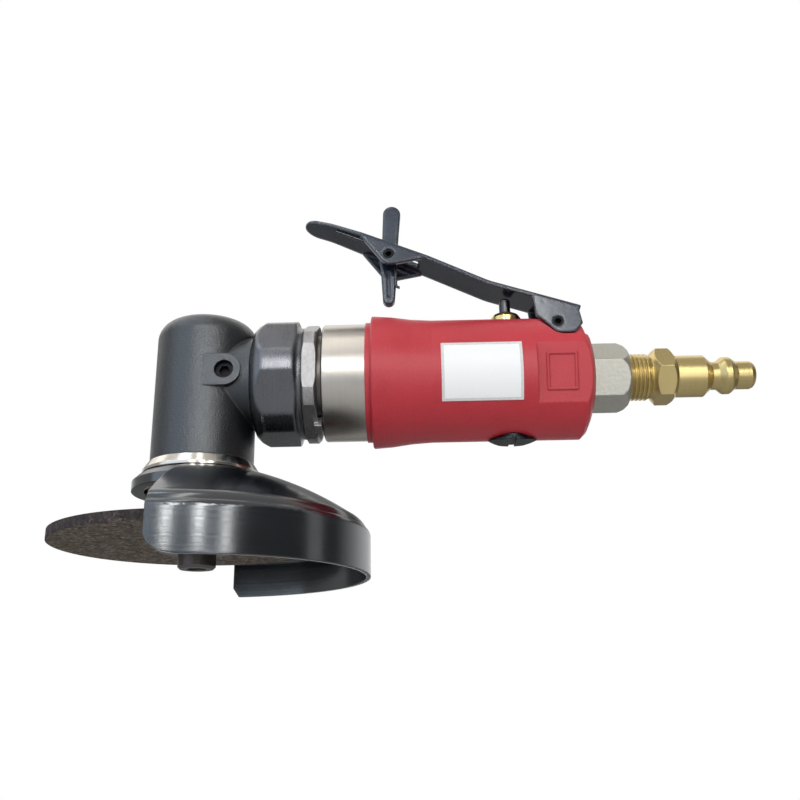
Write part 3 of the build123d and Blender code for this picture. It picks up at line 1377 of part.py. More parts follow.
PIECES = {
    "angle_head": angle_head(),
    "grease_screw": grease_screw(),
    "collar_ring": collar_ring(),
    "bearing_cap": bearing_cap(),
    "clamp_nut": clamp_nut(),
    "lock_ring": lock_ring(),
    "motor_housing": motor_housing(),
    "grip": grip(),
    "label_plate": label_plate(),
    "spindle_top_bearing": spindle_top_bearing(),
    "spindle_lower_bearing": spindle_lower_bearing(),
    "pinion_bearing": pinion_bearing(),
    "motor_spacer": motor_spacer(),
    "front_end_plate": front_end_plate(),
    "rear_end_plate": rear_end_plate(),
    "rotor_front_bearing": rotor_bearing(FRONT_PLATE_X + FIT),
    "rotor_rear_bearing": rotor_bearing(GASKET_X - SMALL_BEARING_WIDTH - FIT),
    "motor_cylinder": motor_cylinder(),
    "cylinder_dowel": cylinder_dowel(),
    "rear_gasket": rear_gasket(),
    "valve_bush": valve_bush(),
    "bush_seal": bush_seal(),
    "valve_spring": valve_spring(),
    "regulator_ring": regulator_ring(),
    "inlet_bushing": inlet_bushing(),
    "inlet_seal": inlet_seal(),
    "inlet_screen": inlet_screen(),
    "exhaust_felt": exhaust_felt(),
    "hose_plug": hose_plug(),
    "lever_pin": lever_pin(),
    "throttle_lever": throttle_lever(),
    "latch_pin": latch_pin(),
    "latch_spring": latch_spring(),
    "safety_latch": safety_latch(),
    "valve_stem": valve_stem(),
    "valve_seal": valve_seal(),
    "flow_regulator": flow_regulator(),
    "regulator_seal": regulator_seal(),
    "rotor": rotor(),
    "bevel_pinion": bevel_pinion(),
    "spindle": spindle(),
    "bevel_gear": bevel_gear(),
    "gear_key": key_block(0),
    "gear_shim": gear_shim(),
    "inner_flange": inner_flange(),
    "cutting_wheel": cutting_wheel(),
    "outer_flange": outer_flange(),
    "wheel_screw": wheel_screw(),
    "wheel_guard": wheel_guard(),
}
for vane in range(VANE_COUNT):
    PIECES[f"rotor_vane_{vane + 1}"] = rotor_vane(vane)

for name, piece in PIECES.items():
    export_step(Pos(-GRIP_CENTRE_X, 0, 0) * piece, f"parts/{name}.step")
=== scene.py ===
import json
import math

import bpy
from mathutils import Matrix, Vector


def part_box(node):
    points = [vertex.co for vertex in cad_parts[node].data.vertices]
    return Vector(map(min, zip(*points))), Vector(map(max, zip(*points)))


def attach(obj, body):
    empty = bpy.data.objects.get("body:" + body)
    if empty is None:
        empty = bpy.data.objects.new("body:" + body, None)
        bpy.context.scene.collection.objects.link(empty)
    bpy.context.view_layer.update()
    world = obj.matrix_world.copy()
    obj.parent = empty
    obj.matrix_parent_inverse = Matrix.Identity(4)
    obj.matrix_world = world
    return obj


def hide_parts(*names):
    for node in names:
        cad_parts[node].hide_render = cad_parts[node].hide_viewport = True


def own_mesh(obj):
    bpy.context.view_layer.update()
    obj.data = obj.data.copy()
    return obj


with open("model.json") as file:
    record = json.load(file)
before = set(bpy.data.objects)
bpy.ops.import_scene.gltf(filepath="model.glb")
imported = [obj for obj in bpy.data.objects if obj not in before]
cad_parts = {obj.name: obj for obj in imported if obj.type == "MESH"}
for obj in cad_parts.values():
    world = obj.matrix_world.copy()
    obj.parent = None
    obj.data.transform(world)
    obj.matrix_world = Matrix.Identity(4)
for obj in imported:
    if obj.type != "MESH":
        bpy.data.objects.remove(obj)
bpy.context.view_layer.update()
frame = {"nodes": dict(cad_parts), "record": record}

# Camera, as the photograph was taken: close in front of the handle, a little below it, looking up.
CAMERA_PLACE = Vector((-0.020965, -0.23456, -0.08342))
CAMERA_YAW = math.radians(-0.427)
CAMERA_PITCH = math.radians(18.434)
CAMERA_ROLL = math.radians(-1.038)
CAMERA_LENS = 39.68
CAMERA_SENSOR = 36.0

# Studio
FLOOR_Z = -0.3
FLOOR_SIZE = 6.0
FLOOR_GREY = 0.55
FLOOR_WHITE = 0.5      # how much the floor under the object is whitened
FLOOR_FADE = (0.3, 0.7)    # from where the floor fades, and where it is as white as the backdrop
LIGHT_CENTRE = Vector((-0.077, -0.046, -0.045))    # what the lamps are turned to
LIGHT_DISTANCE = 0.8
LAMP_WARM = (1.0, 0.97, 0.92)
WINDOW_BLUE = (0.72, 0.84, 1.0)

# Lamps: name, azimuth, elevation, width and height in degrees, radiance, colour
LAMPS = (
    ("lamp_left", -6.0, 21.0, 5.0, 24.0, 13.5, LAMP_WARM),
    ("lamp_middle", 14.0, 21.0, 5.0, 24.0, 13.5, LAMP_WARM),
    ("lamp_right", 31.0, 19.0, 5.0, 26.0, 7.5, LAMP_WARM),
    ("low_right", 24.0, -7.0, 14.0, 24.0, 3.0, LAMP_WARM),
    ("tube_middle", -9.0, 68.0, 4.0, 34.0, 4.4, LAMP_WARM),
    ("tube_left", -80.0, 62.0, 5.0, 34.0, 4.4, WINDOW_BLUE),
    ("window", -45.0, 18.0, 60.0, 64.0, 0.95, WINDOW_BLUE),
    ("front", 10.0, 12.0, 48.0, 54.0, 0.42, WINDOW_BLUE),
    ("ceiling", 0.0, 88.0, 90.0, 90.0, 0.42, LAMP_WARM),
    ("fill_right", 92.0, 18.0, 12.0, 50.0, 0.6, LAMP_WARM),
    ("fill_back", 180.0, 52.0, 100.0, 40.0, 0.8, LAMP_WARM),
)

# Room: its even light on the object, and how light it looks in gloss at the left and at the right
ROOM_LEVEL = 0.18
ROOM_SIDES = (0.4, 0.1)
ROOM_SPREAD = (-0.7, 0.5)      # directions between which the sides blend
SWEEP_BEHIND = (0.3, 0.8)      # directions in which the white sweep behind the object sets in
SWEEP_HEIGHT = (0.2, 0.42)     # and over which it ends upward

# Valve spring: how close together points are joined, and the angle from which edges stay sharp
SPRING_MERGE = 0.000001
SPRING_SMOOTH = math.radians(40.0)

# Thread relief behind the lock ring: how much of it is painted dark, as painted shade in the groove, and
# how soft the edge of that painted shade is
RELIEF_LENGTH = 0.0005
SHADE_EDGE = 0.0001

# Bare label: width of its silver border, and the arc it covers round the handle
LABEL_BORDER = 0.0008
BORDER_CLEAR = 0.9     # share of that width past the border's soft inner edge
LABEL_ARC = (math.radians(-37.0), math.radians(16.5))

# Wheel: from where its face counts as rim
RIM_EDGE = (0.0004, 0.0001)

# Rounded edges: cosines of the turn at which an edge is rubbed bare, and not at all
RUBBED_TURN = (0.86, 0.995)
RUBBED_SCALE = 260.0

# Tool marks: how coarse the broad ones are against the fine ones, and their least depth
BROAD_SHARE = 0.22
BROAD_LEAST = 0.45

# Numbers of the colour sockets on a Mix node
MIX_LOW = 6
MIX_HIGH = 7
MIX_RESULT = 2


def linear(red, green, blue):
    """Shader colour from the 0 to 255 values that a screen shows."""
    shares = (value / 255 for value in (red, green, blue))
    curve = [s / 12.92 if s <= 0.04045 else ((s + 0.055) / 1.055) ** 2.4 for s in shares]
    return (*curve, 1.0)


# Node building

def add(tree, kind, inputs=None, **settings):
    """New shader node with its settings and its unlinked inputs."""
    node = tree.nodes.new("ShaderNode" + kind)
    for name, value in settings.items():
        setattr(node, name, value)
    for name, value in (inputs or {}).items():
        node.inputs[name].default_value = value
    return node


def place(tree, group, inputs=None):
    """Node that holds a shared group, with its own values."""
    return add(tree, "Group", inputs, node_tree=group)


def math_node(tree, operation, first, second=None):
    """Math node; each side is a number or an output socket. Returns its output."""
    node = add(tree, "Math", operation=operation)
    for socket, value in zip(node.inputs, (first, second)):
        if isinstance(value, bpy.types.NodeSocket):
            tree.links.new(value, socket)
        elif value is not None:
            socket.default_value = value
    return node.outputs[0]


def span(tree, source, low, high, start=0.0, end=1.0):
    """Source, mapped from start..end to low..high."""
    node = add(tree, "MapRange", {"From Min": start, "From Max": end, "To Min": low, "To Max": high})
    tree.links.new(source, node.inputs["Value"])
    return node.outputs["Result"]


def add_spans(tree, first, second):
    """Sum of two sources, each given with the low and high it is mapped to."""
    return math_node(tree, "ADD", span(tree, *first), span(tree, *second))


def own_place(tree):
    """X, Y and Z outputs of a place on the object."""
    place_on = add(tree, "TexCoord")
    parts = add(tree, "SeparateXYZ")
    tree.links.new(place_on.outputs["Object"], parts.inputs[0])
    return parts.outputs


def mix_colour(tree, mask, low, high):
    """Colour between low and high by a mask; each is a colour or an output socket."""
    node = add(tree, "Mix", data_type="RGBA")
    tree.links.new(mask, node.inputs["Factor"])
    for socket, value in ((node.inputs[MIX_LOW], low), (node.inputs[MIX_HIGH], high)):
        if isinstance(value, bpy.types.NodeSocket):
            tree.links.new(value, socket)
        else:
            socket.default_value = value
    return node.outputs[MIX_RESULT]


def bump(tree, height, depth, normal=None):
    """Normal of a surface that rises by depth where height is 1."""
    node = add(tree, "Bump", {"Strength": 1.0, "Distance": depth})
    tree.links.new(height, node.inputs["Height"])
    if normal is not None:
        tree.links.new(normal, node.inputs["Normal"])
    return node.outputs["Normal"]


def new_material(name, **constants):
    """Material with one Principled shader; the constants are set on its own sockets."""
    material = bpy.data.materials.new(name)
    material.use_nodes = True
    tree = material.node_tree
    tree.nodes.clear()
    out = add(tree, "OutputMaterial")
    shader = add(tree, "BsdfPrincipled")
    tree.links.new(shader.outputs["BSDF"], out.inputs["Surface"])
    for socket, value in constants.items():
        shader.inputs[socket.replace("_", " ")].default_value = value
    return material, tree, shader


def finish_shader(tree, shader, colour, roughness, normal):
    """Links what a finish is made of to its shader."""
    tree.links.new(colour, shader.inputs["Base Color"])
    tree.links.new(roughness, shader.inputs["Roughness"])
    tree.links.new(normal, shader.inputs["Normal"])


# Shared effects

def new_group(name, inputs, outputs):
    """Empty node group with its sockets, and its two end nodes."""
    group = bpy.data.node_groups.new(name, "ShaderNodeTree")
    for socket, kind, value in inputs:
        item = group.interface.new_socket(socket, in_out="INPUT", socket_type="NodeSocket" + kind)
        item.default_value = value
    for socket, kind in outputs:
        group.interface.new_socket(socket, in_out="OUTPUT", socket_type="NodeSocket" + kind)
    return group, group.nodes.new("NodeGroupInput"), group.nodes.new("NodeGroupOutput")


def grain_group():
    """Fine random grain; Stretch draws it out along the directions with small numbers."""
    inputs = [
        ("Scale", "Float", 1000.0),
        ("Stretch", "Vector", (1.0, 1.0, 1.0)),
        ("Detail", "Float", 3.0),
    ]
    tree, start, end = new_group("grain", inputs, [("Grain", "Float")])
    place_on = add(tree, "TexCoord")
    stretched = add(tree, "VectorMath", operation="MULTIPLY")
    noise = add(tree, "TexNoise", {"Roughness": 0.6})
    tree.links.new(place_on.outputs["Object"], stretched.inputs[0])
    tree.links.new(start.outputs["Stretch"], stretched.inputs[1])
    tree.links.new(stretched.outputs[0], noise.inputs["Vector"])
    tree.links.new(start.outputs["Scale"], noise.inputs["Scale"])
    tree.links.new(start.outputs["Detail"], noise.inputs["Detail"])
    tree.links.new(span(tree, noise.outputs["Fac"], 0.0, 1.0, 0.25, 0.75), end.inputs["Grain"])
    return tree


def edge_group():
    """Rounded edges, and a mask of where they are rubbed."""
    inputs = [("Radius", "Float", 0.0003), ("Rubbing", "Float", 0.5)]
    tree, start, end = new_group("rounded edges", inputs, [("Normal", "Vector"), ("Edge", "Float")])
    rounding = add(tree, "Bevel", samples=6)
    tree.links.new(start.outputs["Radius"], rounding.inputs["Radius"])
    surface = add(tree, "NewGeometry")
    facing = add(tree, "VectorMath", operation="DOT_PRODUCT")
    tree.links.new(rounding.outputs["Normal"], facing.inputs[0])
    tree.links.new(surface.outputs["Normal"], facing.inputs[1])
    turned = span(tree, facing.outputs["Value"], 1.0, 0.0, *RUBBED_TURN)
    patches = place(tree, GRAIN, {"Scale": RUBBED_SCALE, "Detail": 4.0})
    rubbed = math_node(tree, "MULTIPLY", turned, patches.outputs["Grain"])
    worn = math_node(tree, "MULTIPLY", rubbed, start.outputs["Rubbing"])
    tree.links.new(rounding.outputs["Normal"], end.inputs["Normal"])
    tree.links.new(worn, end.inputs["Edge"])
    return tree


def lines_group():
    """Tool marks: fine lines that lie across the direction of Along, of uneven depth."""
    inputs = [("Along", "Vector", (1.0, 0.0, 0.0)), ("Scale", "Float", 3000.0)]
    tree, start, end = new_group("tool marks", inputs, [("Lines", "Float")])
    fine = place(tree, GRAIN, {"Detail": 2.0})
    broad = place(tree, GRAIN, {"Detail": 2.0})
    tree.links.new(start.outputs["Along"], fine.inputs["Stretch"])
    tree.links.new(start.outputs["Along"], broad.inputs["Stretch"])
    tree.links.new(start.outputs["Scale"], fine.inputs["Scale"])
    coarse = math_node(tree, "MULTIPLY", start.outputs["Scale"], BROAD_SHARE)
    tree.links.new(coarse, broad.inputs["Scale"])
    depth = span(tree, broad.outputs["Grain"], BROAD_LEAST, 1.0)
    both = math_node(tree, "MULTIPLY", fine.outputs["Grain"], depth)
    tree.links.new(both, end.inputs["Lines"])
    return tree


def smudge_group():
    """Soft patches, as hands and oil leave them."""
    inputs = [("Scale", "Float", 70.0)]
    tree, start, end = new_group("smudges", inputs, [("Smudge", "Float")])
    patches = place(tree, GRAIN, {"Detail": 6.0})
    tree.links.new(start.outputs["Scale"], patches.inputs["Scale"])
    tree.links.new(patches.outputs["Grain"], end.inputs["Smudge"])
    return tree


GRAIN = grain_group()
EDGES = edge_group()
LINES = lines_group()
SMUDGES = smudge_group()


# Finishes

COOL_SHEEN = (0.9, 0.95, 1.0, 1.0)     # slight blue of the black coatings
# Painted shade: the colour that stands in for the shade in the thread relief behind the lock ring
THREAD_SHADE = linear(105, 101, 98)
ALONG_HANDLE = (1.0, 0.0, 0.0)
ALONG_SPINDLE = (0.0, 0.0, 1.0)


def cast_black():
    """Satin black coating over a fine cast skin."""
    material, tree, shader = new_material("cast_black", IOR=1.86, Specular_Tint=COOL_SHEEN)
    edges = place(tree, EDGES, {"Radius": 0.0005, "Rubbing": 0.35})
    grain = place(tree, GRAIN, {"Scale": 1900.0, "Detail": 3.0})
    smudge = place(tree, SMUDGES, {"Scale": 90.0})
    skin = mix_colour(tree, grain.outputs["Grain"], linear(2, 2, 3), linear(22, 23, 25))
    skin = mix_colour(tree, edges.outputs["Edge"], skin, linear(120, 120, 122))
    roughness = span(tree, smudge.outputs["Smudge"], 0.27, 0.34)
    normal = bump(tree, grain.outputs["Grain"], depth=0.00007, normal=edges.outputs["Normal"])
    finish_shader(tree, shader, skin, roughness, normal)
    return material


def metal(name, dark, light, rough, line_depth, line_scale, along=None, radius=0.0003, shaded_to=None):
    """Bare or plated metal with tool marks across the direction of along, or with none a random grain.

    Ahead of the place on the handle's axis given as the last argument, its colour is painted dark as shade
    in the thread relief."""
    material, tree, shader = new_material(name, Metallic=1.0)
    edges = place(tree, EDGES, {"Radius": radius, "Rubbing": 0.6})
    smudge = place(tree, SMUDGES, {"Scale": 110.0})
    if along is None:
        marks = place(tree, GRAIN, {"Scale": line_scale, "Detail": 4.0}).outputs["Grain"]
    else:
        marks = place(tree, LINES, {"Along": along, "Scale": line_scale}).outputs["Lines"]
    tone = add_spans(tree, (marks, 0.0, 0.6), (smudge.outputs["Smudge"], 0.0, 0.4))
    colour = mix_colour(tree, tone, dark, light)
    colour = mix_colour(tree, edges.outputs["Edge"], colour, light)
    # Painted shade: ahead of the given place on the handle's axis the colour turns dark, standing in for
    # the shade in the thread relief
    if shaded_to is not None:
        painted_shade = span(tree, own_place(tree)["X"], 1.0, 0.0, shaded_to, shaded_to + SHADE_EDGE)
        colour = mix_colour(tree, painted_shade, colour, THREAD_SHADE)
    uneven = add_spans(tree, (marks, -0.05, 0.05), (smudge.outputs["Smudge"], -0.05, 0.05))
    roughness = math_node(tree, "ADD", uneven, rough)
    normal = bump(tree, marks, line_depth, edges.outputs["Normal"])
    finish_shader(tree, shader, colour, roughness, normal)
    return material


def grip_red():
    """Matte red moulded grip with a fine pebbled skin."""
    material, tree, shader = new_material("grip_red", Specular_IOR_Level=0.5)
    edges = place(tree, EDGES, {"Radius": 0.0006, "Rubbing": 0.5})
    pebbles = place(tree, GRAIN, {"Scale": 2200.0, "Detail": 2.0})
    smudge = place(tree, SMUDGES, {"Scale": 60.0})
    tone = add_spans(tree, (pebbles.outputs["Grain"], 0.0, 0.45), (smudge.outputs["Smudge"], 0.0, 0.55))
    colour = mix_colour(tree, tone, linear(176, 37, 48), linear(200, 52, 64))
    colour = mix_colour(tree, edges.outputs["Edge"], colour, linear(214, 92, 98))
    roughness = span(tree, smudge.outputs["Smudge"], 0.36, 0.48)
    normal = bump(tree, pebbles.outputs["Grain"], depth=0.00004, normal=edges.outputs["Normal"])
    finish_shader(tree, shader, colour, roughness, normal)
    return material


def label_film():
    """Bare white label film with a silver border."""
    material, tree, shader = new_material("label_film", Specular_IOR_Level=0.25)
    low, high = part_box("label_plate")
    spot = own_place(tree)
    middle = (low.x + high.x) / 2
    half = (high.x - low.x) / 2
    along = math_node(tree, "ABSOLUTE", math_node(tree, "SUBTRACT", spot["X"], middle))
    front = math_node(tree, "MULTIPLY", spot["Y"], -1.0)
    angle = math_node(tree, "ARCTAN2", spot["Z"], front)
    arc_middle = sum(LABEL_ARC) / 2
    arc_half = (LABEL_ARC[1] - LABEL_ARC[0]) / 2
    around = math_node(tree, "ABSOLUTE", math_node(tree, "SUBTRACT", angle, arc_middle))
    border_angle = LABEL_BORDER / abs(low.y)
    ends = span(tree, along, 0.0, 1.0, half - LABEL_BORDER, half - LABEL_BORDER * BORDER_CLEAR)
    sides = span(tree, around, 0.0, 1.0, arc_half - border_angle, arc_half - border_angle * BORDER_CLEAR)
    border = math_node(tree, "MAXIMUM", ends, sides)
    film = place(tree, GRAIN, {"Scale": 2400.0, "Detail": 2.0})
    white = mix_colour(tree, film.outputs["Grain"], linear(243, 243, 243), linear(247, 247, 247))
    silver = mix_colour(tree, film.outputs["Grain"], linear(206, 203, 203), linear(226, 223, 223))
    colour = mix_colour(tree, border, white, silver)
    roughness = span(tree, film.outputs["Grain"], 0.34, 0.4)
    normal = bump(tree, film.outputs["Grain"], depth=0.000002)
    finish_shader(tree, shader, colour, roughness, normal)
    return material


def black_enamel(name, dark, light, gloss, rough, radius, peel_depth, scratch_depth):
    """Black enamel, rubbed at the edges, with an orange-peel skin and hairline scratches round the tool."""
    material, tree, shader = new_material(name, IOR=gloss, Specular_Tint=COOL_SHEEN)
    edges = place(tree, EDGES, {"Radius": radius, "Rubbing": 0.3})
    peel = place(tree, GRAIN, {"Scale": 420.0, "Detail": 2.0})
    smudge = place(tree, SMUDGES, {"Scale": 60.0})
    scratches = place(tree, LINES, {"Along": ALONG_SPINDLE, "Scale": 2000.0})
    colour = mix_colour(tree, smudge.outputs["Smudge"], dark, light)
    colour = mix_colour(tree, edges.outputs["Edge"], colour, linear(96, 97, 100))
    lines = scratches.outputs["Lines"]
    uneven = add_spans(tree, (smudge.outputs["Smudge"], -0.04, 0.04), (lines, -0.06, 0.06))
    roughness = math_node(tree, "ADD", uneven, rough)
    skin = bump(tree, peel.outputs["Grain"], peel_depth, edges.outputs["Normal"])
    normal = bump(tree, lines, scratch_depth, skin)
    finish_shader(tree, shader, colour, roughness, normal)
    return material


def abrasive():
    """Resin-bonded abrasive: packed brown grains with a few pale and dark ones, and a darker rim."""
    material, tree, shader = new_material("abrasive", Specular_IOR_Level=0.3)
    low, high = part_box("cutting_wheel")
    place_on = add(tree, "TexCoord")
    grains = add(tree, "TexVoronoi", {"Scale": 1500.0})
    tree.links.new(place_on.outputs["Object"], grains.inputs["Vector"])
    sort = add(tree, "SeparateColor")
    tree.links.new(grains.outputs["Color"], sort.inputs[0])
    patches = place(tree, GRAIN, {"Scale": 380.0, "Detail": 6.0})
    stains = place(tree, GRAIN, {"Scale": 150.0, "Detail": 5.0})
    from_axis = add(tree, "VectorMath", {1: (low + high) / 2}, operation="SUBTRACT")
    flat = add(tree, "VectorMath", {1: (1.0, 1.0, 0.0)}, operation="MULTIPLY")
    reach = add(tree, "VectorMath", operation="LENGTH")
    tree.links.new(place_on.outputs["Object"], from_axis.inputs[0])
    tree.links.new(from_axis.outputs[0], flat.inputs[0])
    tree.links.new(flat.outputs[0], reach.inputs[0])
    wheel_radius = (high.x - low.x) / 2
    rim_start, rim_full = (wheel_radius - edge for edge in RIM_EDGE)
    rim = span(tree, reach.outputs["Value"], 0.0, 1.0, rim_start, rim_full)
    face = mix_colour(tree, patches.outputs["Grain"], linear(52, 48, 43), linear(154, 142, 126))
    stained = span(tree, stains.outputs["Grain"], 0.0, 0.5, 0.6, 0.9)
    face = mix_colour(tree, stained, face, linear(106, 72, 52))
    rim_tone = mix_colour(tree, patches.outputs["Grain"], linear(44, 38, 40), linear(84, 74, 76))
    resin = mix_colour(tree, rim, face, rim_tone)
    dark = span(tree, sort.outputs["Red"], 0.0, 0.8)
    resin = mix_colour(tree, dark, resin, linear(36, 32, 31))
    pale = span(tree, sort.outputs["Green"], 0.0, 0.7, 0.88, 1.0)
    specks = math_node(tree, "MULTIPLY", pale, span(tree, rim, 1.0, 0.3))
    colour = mix_colour(tree, specks, resin, linear(170, 150, 128))
    hollows = span(tree, grains.outputs["Distance"], 0.0, 1.0, 0.0, 0.7)
    height = math_node(tree, "SUBTRACT", 1.0, hollows)
    roughness = span(tree, sort.outputs["Blue"], 0.7, 0.95)
    normal = bump(tree, height, depth=0.00018)
    finish_shader(tree, shader, colour, roughness, normal)
    return material


def soft(name, dark, light, scale, depth, rough):
    """Rubber, felt and the like: a matte skin of that grain."""
    material, tree, shader = new_material(name, Specular_IOR_Level=0.3)
    grain = place(tree, GRAIN, {"Scale": scale, "Detail": 5.0})
    smudge = place(tree, SMUDGES, {"Scale": 120.0})
    tone = add_spans(tree, (grain.outputs["Grain"], 0.0, 0.6), (smudge.outputs["Smudge"], 0.0, 0.4))
    colour = mix_colour(tree, tone, dark, light)
    roughness = span(tree, smudge.outputs["Smudge"], rough - 0.08, rough + 0.08)
    normal = bump(tree, grain.outputs["Grain"], depth)
    finish_shader(tree, shader, colour, roughness, normal)
    return material


FINISHES = {
    "cast_black": cast_black(),
    "nut_black": metal(
        "nut_black", linear(98, 99, 103), linear(124, 125, 130), rough=0.3,
        line_depth=0.000004, line_scale=4600.0, along=ALONG_HANDLE, radius=0.0014,
    ),
    "screw_black": metal(
        "screw_black", linear(88, 84, 84), linear(118, 113, 112), rough=0.4,
        line_depth=0.00002, line_scale=1800.0,
    ),
    "socket_black": metal(
        "socket_black", linear(26, 26, 28), linear(40, 40, 42), rough=0.42,
        line_depth=0.00002, line_scale=1800.0,
    ),
    "handle_steel": metal(
        "handle_steel", linear(178, 172, 164), linear(210, 204, 197), rough=0.34,
        line_depth=0.000004, line_scale=4200.0, along=ALONG_HANDLE,
        # Painted shade: just behind the lock ring the handle's colour is painted dark as shade in the
        # thread relief
        shaded_to=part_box("lock_ring")[1].x + RELIEF_LENGTH,
    ),
    "lock_steel": metal(
        "lock_steel", linear(138, 136, 136), linear(190, 188, 188), rough=0.44,
        line_depth=0.00009, line_scale=1300.0,
    ),
    "collar_steel": metal(
        "collar_steel", linear(200, 194, 185), linear(228, 223, 215), rough=0.17,
        line_depth=0.000004, line_scale=4200.0, along=ALONG_SPINDLE, radius=0.0005,
    ),
    "spindle_steel": metal(
        "spindle_steel", linear(186, 180, 176), linear(216, 211, 206), rough=0.18,
        line_depth=0.000004, line_scale=4200.0, along=ALONG_SPINDLE,
    ),
    "ground_steel": metal(
        "ground_steel", linear(118, 118, 120), linear(150, 150, 152), rough=0.32,
        line_depth=0.00001, line_scale=2600.0,
    ),
    "cast_iron": metal(
        "cast_iron", linear(104, 103, 102), linear(140, 139, 137), rough=0.5,
        line_depth=0.00004, line_scale=1400.0,
    ),
    "turned_brass": metal(
        "turned_brass", linear(186, 165, 108), linear(216, 198, 146), rough=0.32,
        line_depth=0.000006, line_scale=3600.0, along=ALONG_HANDLE,
    ),
    "pale_brass": metal(
        "pale_brass", linear(210, 190, 126), linear(236, 220, 162), rough=0.24,
        line_depth=0.000006, line_scale=3600.0, along=ALONG_SPINDLE,
    ),
    "stem_steel": metal(
        "stem_steel", linear(70, 70, 73), linear(104, 104, 107), rough=0.3,
        line_depth=0.00001, line_scale=2600.0, along=ALONG_SPINDLE,
    ),
    "regulator_black": metal(
        "regulator_black", linear(36, 39, 42), linear(58, 62, 65), rough=0.4,
        line_depth=0.00002, line_scale=1500.0,
    ),
    "plated": metal(
        "plated", linear(170, 169, 160), linear(198, 197, 189), rough=0.42,
        line_depth=0.00004, line_scale=1100.0, radius=0.0004,
    ),
    "grip_red": grip_red(),
    "label_film": label_film(),
    "guard_enamel": black_enamel(
        "guard_enamel", linear(10, 11, 14), linear(18, 20, 25), gloss=2.05, rough=0.2,
        radius=0.0005, peel_depth=0.000005, scratch_depth=0.000006,
    ),
    "lever_enamel": black_enamel(
        "lever_enamel", linear(23, 28, 40), linear(38, 46, 63), gloss=1.78, rough=0.22,
        radius=0.0011, peel_depth=0.00001, scratch_depth=0.000002,
    ),
    "abrasive": abrasive(),
    "rubber": soft(
        "rubber", linear(24, 24, 25), linear(40, 40, 41), scale=1600.0, depth=0.00003, rough=0.6,
    ),
    "felt": soft(
        "felt", linear(126, 122, 116), linear(172, 168, 160), scale=2400.0, depth=0.00025, rough=0.92,
    ),
    "laminate": soft(
        "laminate", linear(96, 62, 38), linear(134, 90, 56), scale=1300.0, depth=0.00003, rough=0.55,
    ),
}

# Finish of each slot, and of the nodes that have one of their own

SLOT_FINISH = {
    "casting_black": "cast_black",
    "oxide_black": "screw_black",
    "bright_steel": "spindle_steel",
    "dark_steel": "ground_steel",
    "grip_red": "grip_red",
    "label_white": "label_film",
    "enamel_black": "lever_enamel",
    "abrasive": "abrasive",
    "brass": "turned_brass",
    "plated": "plated",
    "seal_black": "rubber",
    "felt_grey": "felt",
    "vane_brown": "laminate",
    "liner_steel": "cast_iron",
}
NODE_FINISH = {
    "clamp_nut": "nut_black",
    "grease_screw": "socket_black",
    "lever_pin": "socket_black",
    "latch_pin": "socket_black",
    "collar_ring": "collar_steel",
    "lock_ring": "lock_steel",
    "motor_housing": "handle_steel",
    "wheel_guard": "guard_enamel",
    "valve_stem": "stem_steel",
    "latch_spring": "stem_steel",
    "flow_regulator": "regulator_black",
    "valve_bush": "pale_brass",
}


def dress():
    """Gives every CAD node its finish."""
    for part in frame["record"]["subparts"]:
        finish = NODE_FINISH.get(part["node"], SLOT_FINISH[part["material_slot"]])
        mesh = frame["nodes"][part["node"]].data
        mesh.materials.clear()
        mesh.materials.append(FINISHES[finish])


# Valve spring

def make_spring():
    """Working copy of the valve spring, with its points merged and smooth shading, fixed to the housing in
    place of the original.
    """
    bpy.ops.object.select_all(action="DESELECT")
    spring = bpy.data.objects.new("working_spring", frame["nodes"]["valve_spring"].data.copy())
    bpy.context.scene.collection.objects.link(spring)
    bpy.context.view_layer.objects.active = spring
    spring.select_set(True)
    bpy.ops.object.mode_set(mode="EDIT")
    bpy.ops.mesh.select_all(action="SELECT")
    bpy.ops.mesh.remove_doubles(threshold=SPRING_MERGE)
    bpy.ops.object.mode_set(mode="OBJECT")
    bpy.ops.object.shade_smooth_by_angle(angle=SPRING_SMOOTH)
    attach(spring, "housing")
    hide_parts("valve_spring")
    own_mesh(spring)


# Studio

def make_camera():
    """Camera at the place and turn of the photograph's."""
    level = math.cos(CAMERA_PITCH)
    ahead = Vector((math.sin(CAMERA_YAW) * level, math.cos(CAMERA_YAW) * level, math.sin(CAMERA_PITCH)))
    right = Vector((math.cos(CAMERA_YAW), -math.sin(CAMERA_YAW), 0.0))
    up = right.cross(ahead)
    side = right * math.cos(CAMERA_ROLL) + up * math.sin(CAMERA_ROLL)
    top = up * math.cos(CAMERA_ROLL) - right * math.sin(CAMERA_ROLL)
    turn = Matrix((side, top, -ahead)).transposed()
    data = bpy.data.cameras.new("camera")
    data.lens = CAMERA_LENS
    data.sensor_width = CAMERA_SENSOR
    camera = bpy.data.objects.new("camera", data)
    camera.matrix_world = Matrix.Translation(CAMERA_PLACE) @ turn.to_4x4()
    bpy.context.scene.collection.objects.link(camera)
    bpy.context.scene.camera = camera


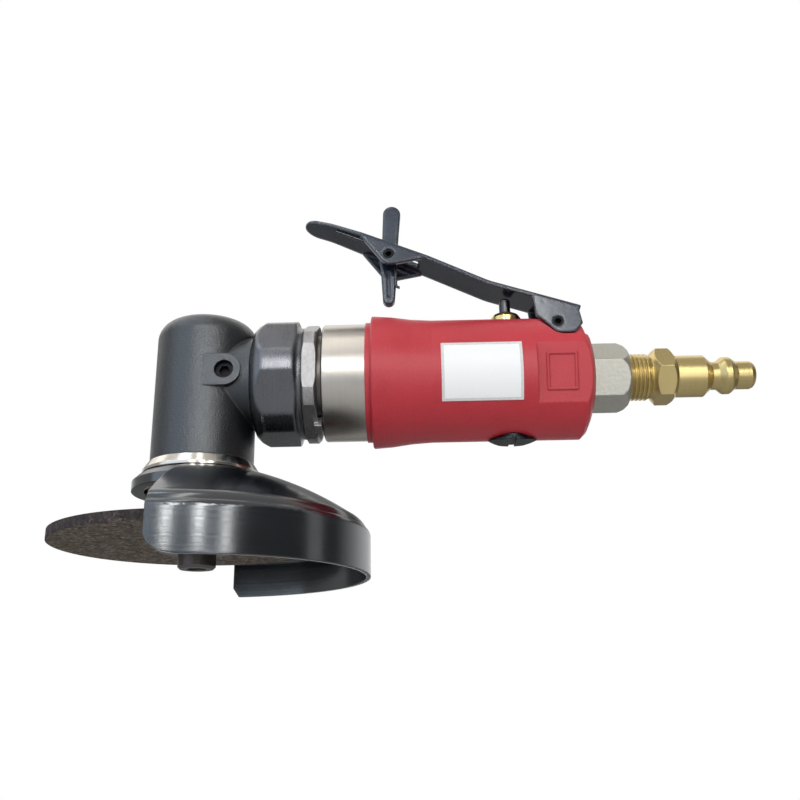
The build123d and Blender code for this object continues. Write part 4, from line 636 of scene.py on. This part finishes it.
def make_floor():
    """Pale floor far below, which the camera sees fade into the backdrop."""
    bpy.ops.object.select_all(action="DESELECT")
    bpy.ops.mesh.primitive_plane_add(size=FLOOR_SIZE, location=(0.0, 0.0, FLOOR_Z))
    floor = bpy.context.object
    floor.name = "floor"
    bpy.ops.object.transform_apply(location=True, rotation=True, scale=True)
    material = bpy.data.materials.new("pale_floor")
    material.use_nodes = True
    tree = material.node_tree
    tree.nodes.clear()
    out = add(tree, "OutputMaterial")
    matte = add(tree, "BsdfDiffuse", {"Color": (FLOOR_GREY, FLOOR_GREY, FLOOR_GREY, 1.0)})
    white = add(tree, "Emission", {"Color": (1.0, 1.0, 1.0, 1.0), "Strength": 1.0})
    place_on = add(tree, "TexCoord")
    away = add(tree, "VectorMath", operation="LENGTH")
    tree.links.new(place_on.outputs["Object"], away.inputs[0])
    fade = span(tree, away.outputs["Value"], FLOOR_WHITE, 1.0, *FLOOR_FADE)
    rays = add(tree, "LightPath")
    seen = math_node(tree, "MULTIPLY", rays.outputs["Is Camera Ray"], fade)
    both = add(tree, "MixShader")
    tree.links.new(seen, both.inputs[0])
    tree.links.new(matte.outputs[0], both.inputs[1])
    tree.links.new(white.outputs[0], both.inputs[2])
    tree.links.new(both.outputs[0], out.inputs["Surface"])
    floor.data.materials.append(material)


def make_backdrop():
    """White to the camera. Gloss sees white low down behind the object, and a dimmer room elsewhere."""
    world = bpy.data.worlds.new("backdrop")
    bpy.context.scene.world = world
    world.use_nodes = True
    tree = world.node_tree
    tree.nodes.clear()
    out = add(tree, "OutputWorld")
    place_on = add(tree, "TexCoord")
    way = add(tree, "SeparateXYZ")
    tree.links.new(place_on.outputs["Generated"], way.inputs[0])
    behind = span(tree, way.outputs["Y"], 0.0, 1.0, *SWEEP_BEHIND)
    low = span(tree, way.outputs["Z"], 1.0, 0.0, *SWEEP_HEIGHT)
    sweep = math_node(tree, "MULTIPLY", behind, low)
    sides = span(tree, way.outputs["X"], *ROOM_SIDES, *ROOM_SPREAD)
    shiny = math_node(tree, "MAXIMUM", sweep, sides)
    rays = add(tree, "LightPath")
    gloss = math_node(tree, "MAXIMUM", rays.outputs["Is Glossy Ray"], rays.outputs["Is Transmission Ray"])
    unseen = math_node(tree, "SUBTRACT", 1.0, gloss)
    lit = math_node(tree, "MULTIPLY", unseen, ROOM_LEVEL)
    around = math_node(tree, "ADD", lit, math_node(tree, "MULTIPLY", gloss, shiny))
    strength = math_node(tree, "MAXIMUM", around, rays.outputs["Is Camera Ray"])
    white = add(tree, "Background", {"Color": (1.0, 1.0, 1.0, 1.0)})
    tree.links.new(strength, white.inputs["Strength"])
    tree.links.new(white.outputs[0], out.inputs["Surface"])


def softbox(name, azimuth, elevation, width, height, radiance, colour):
    """Lit panel that faces the object; its place and size are angles in degrees as the object sees it."""
    across, up = math.radians(azimuth), math.radians(elevation)
    way = Vector((math.sin(across) * math.cos(up), -math.cos(across) * math.cos(up), math.sin(up)))
    data = bpy.data.lights.new(name, "AREA")
    data.shape = "RECTANGLE"
    data.size = 2 * LIGHT_DISTANCE * math.tan(math.radians(width / 2))
    data.size_y = 2 * LIGHT_DISTANCE * math.tan(math.radians(height / 2))
    data.energy = radiance * math.pi * data.size * data.size_y
    data.color = colour
    light = bpy.data.objects.new(name, data)
    light.location = LIGHT_CENTRE + way * LIGHT_DISTANCE
    light.rotation_euler = (-way).to_track_quat("-Z", "Y").to_euler()
    light.visible_camera = False
    bpy.context.scene.collection.objects.link(light)


def make_lights():
    """Every lamp of the table."""
    for lamp in LAMPS:
        softbox(*lamp)


dress()
make_spring()
make_camera()
make_floor()
make_backdrop()
make_lights()
bpy.context.scene.view_settings.view_transform = "Standard"
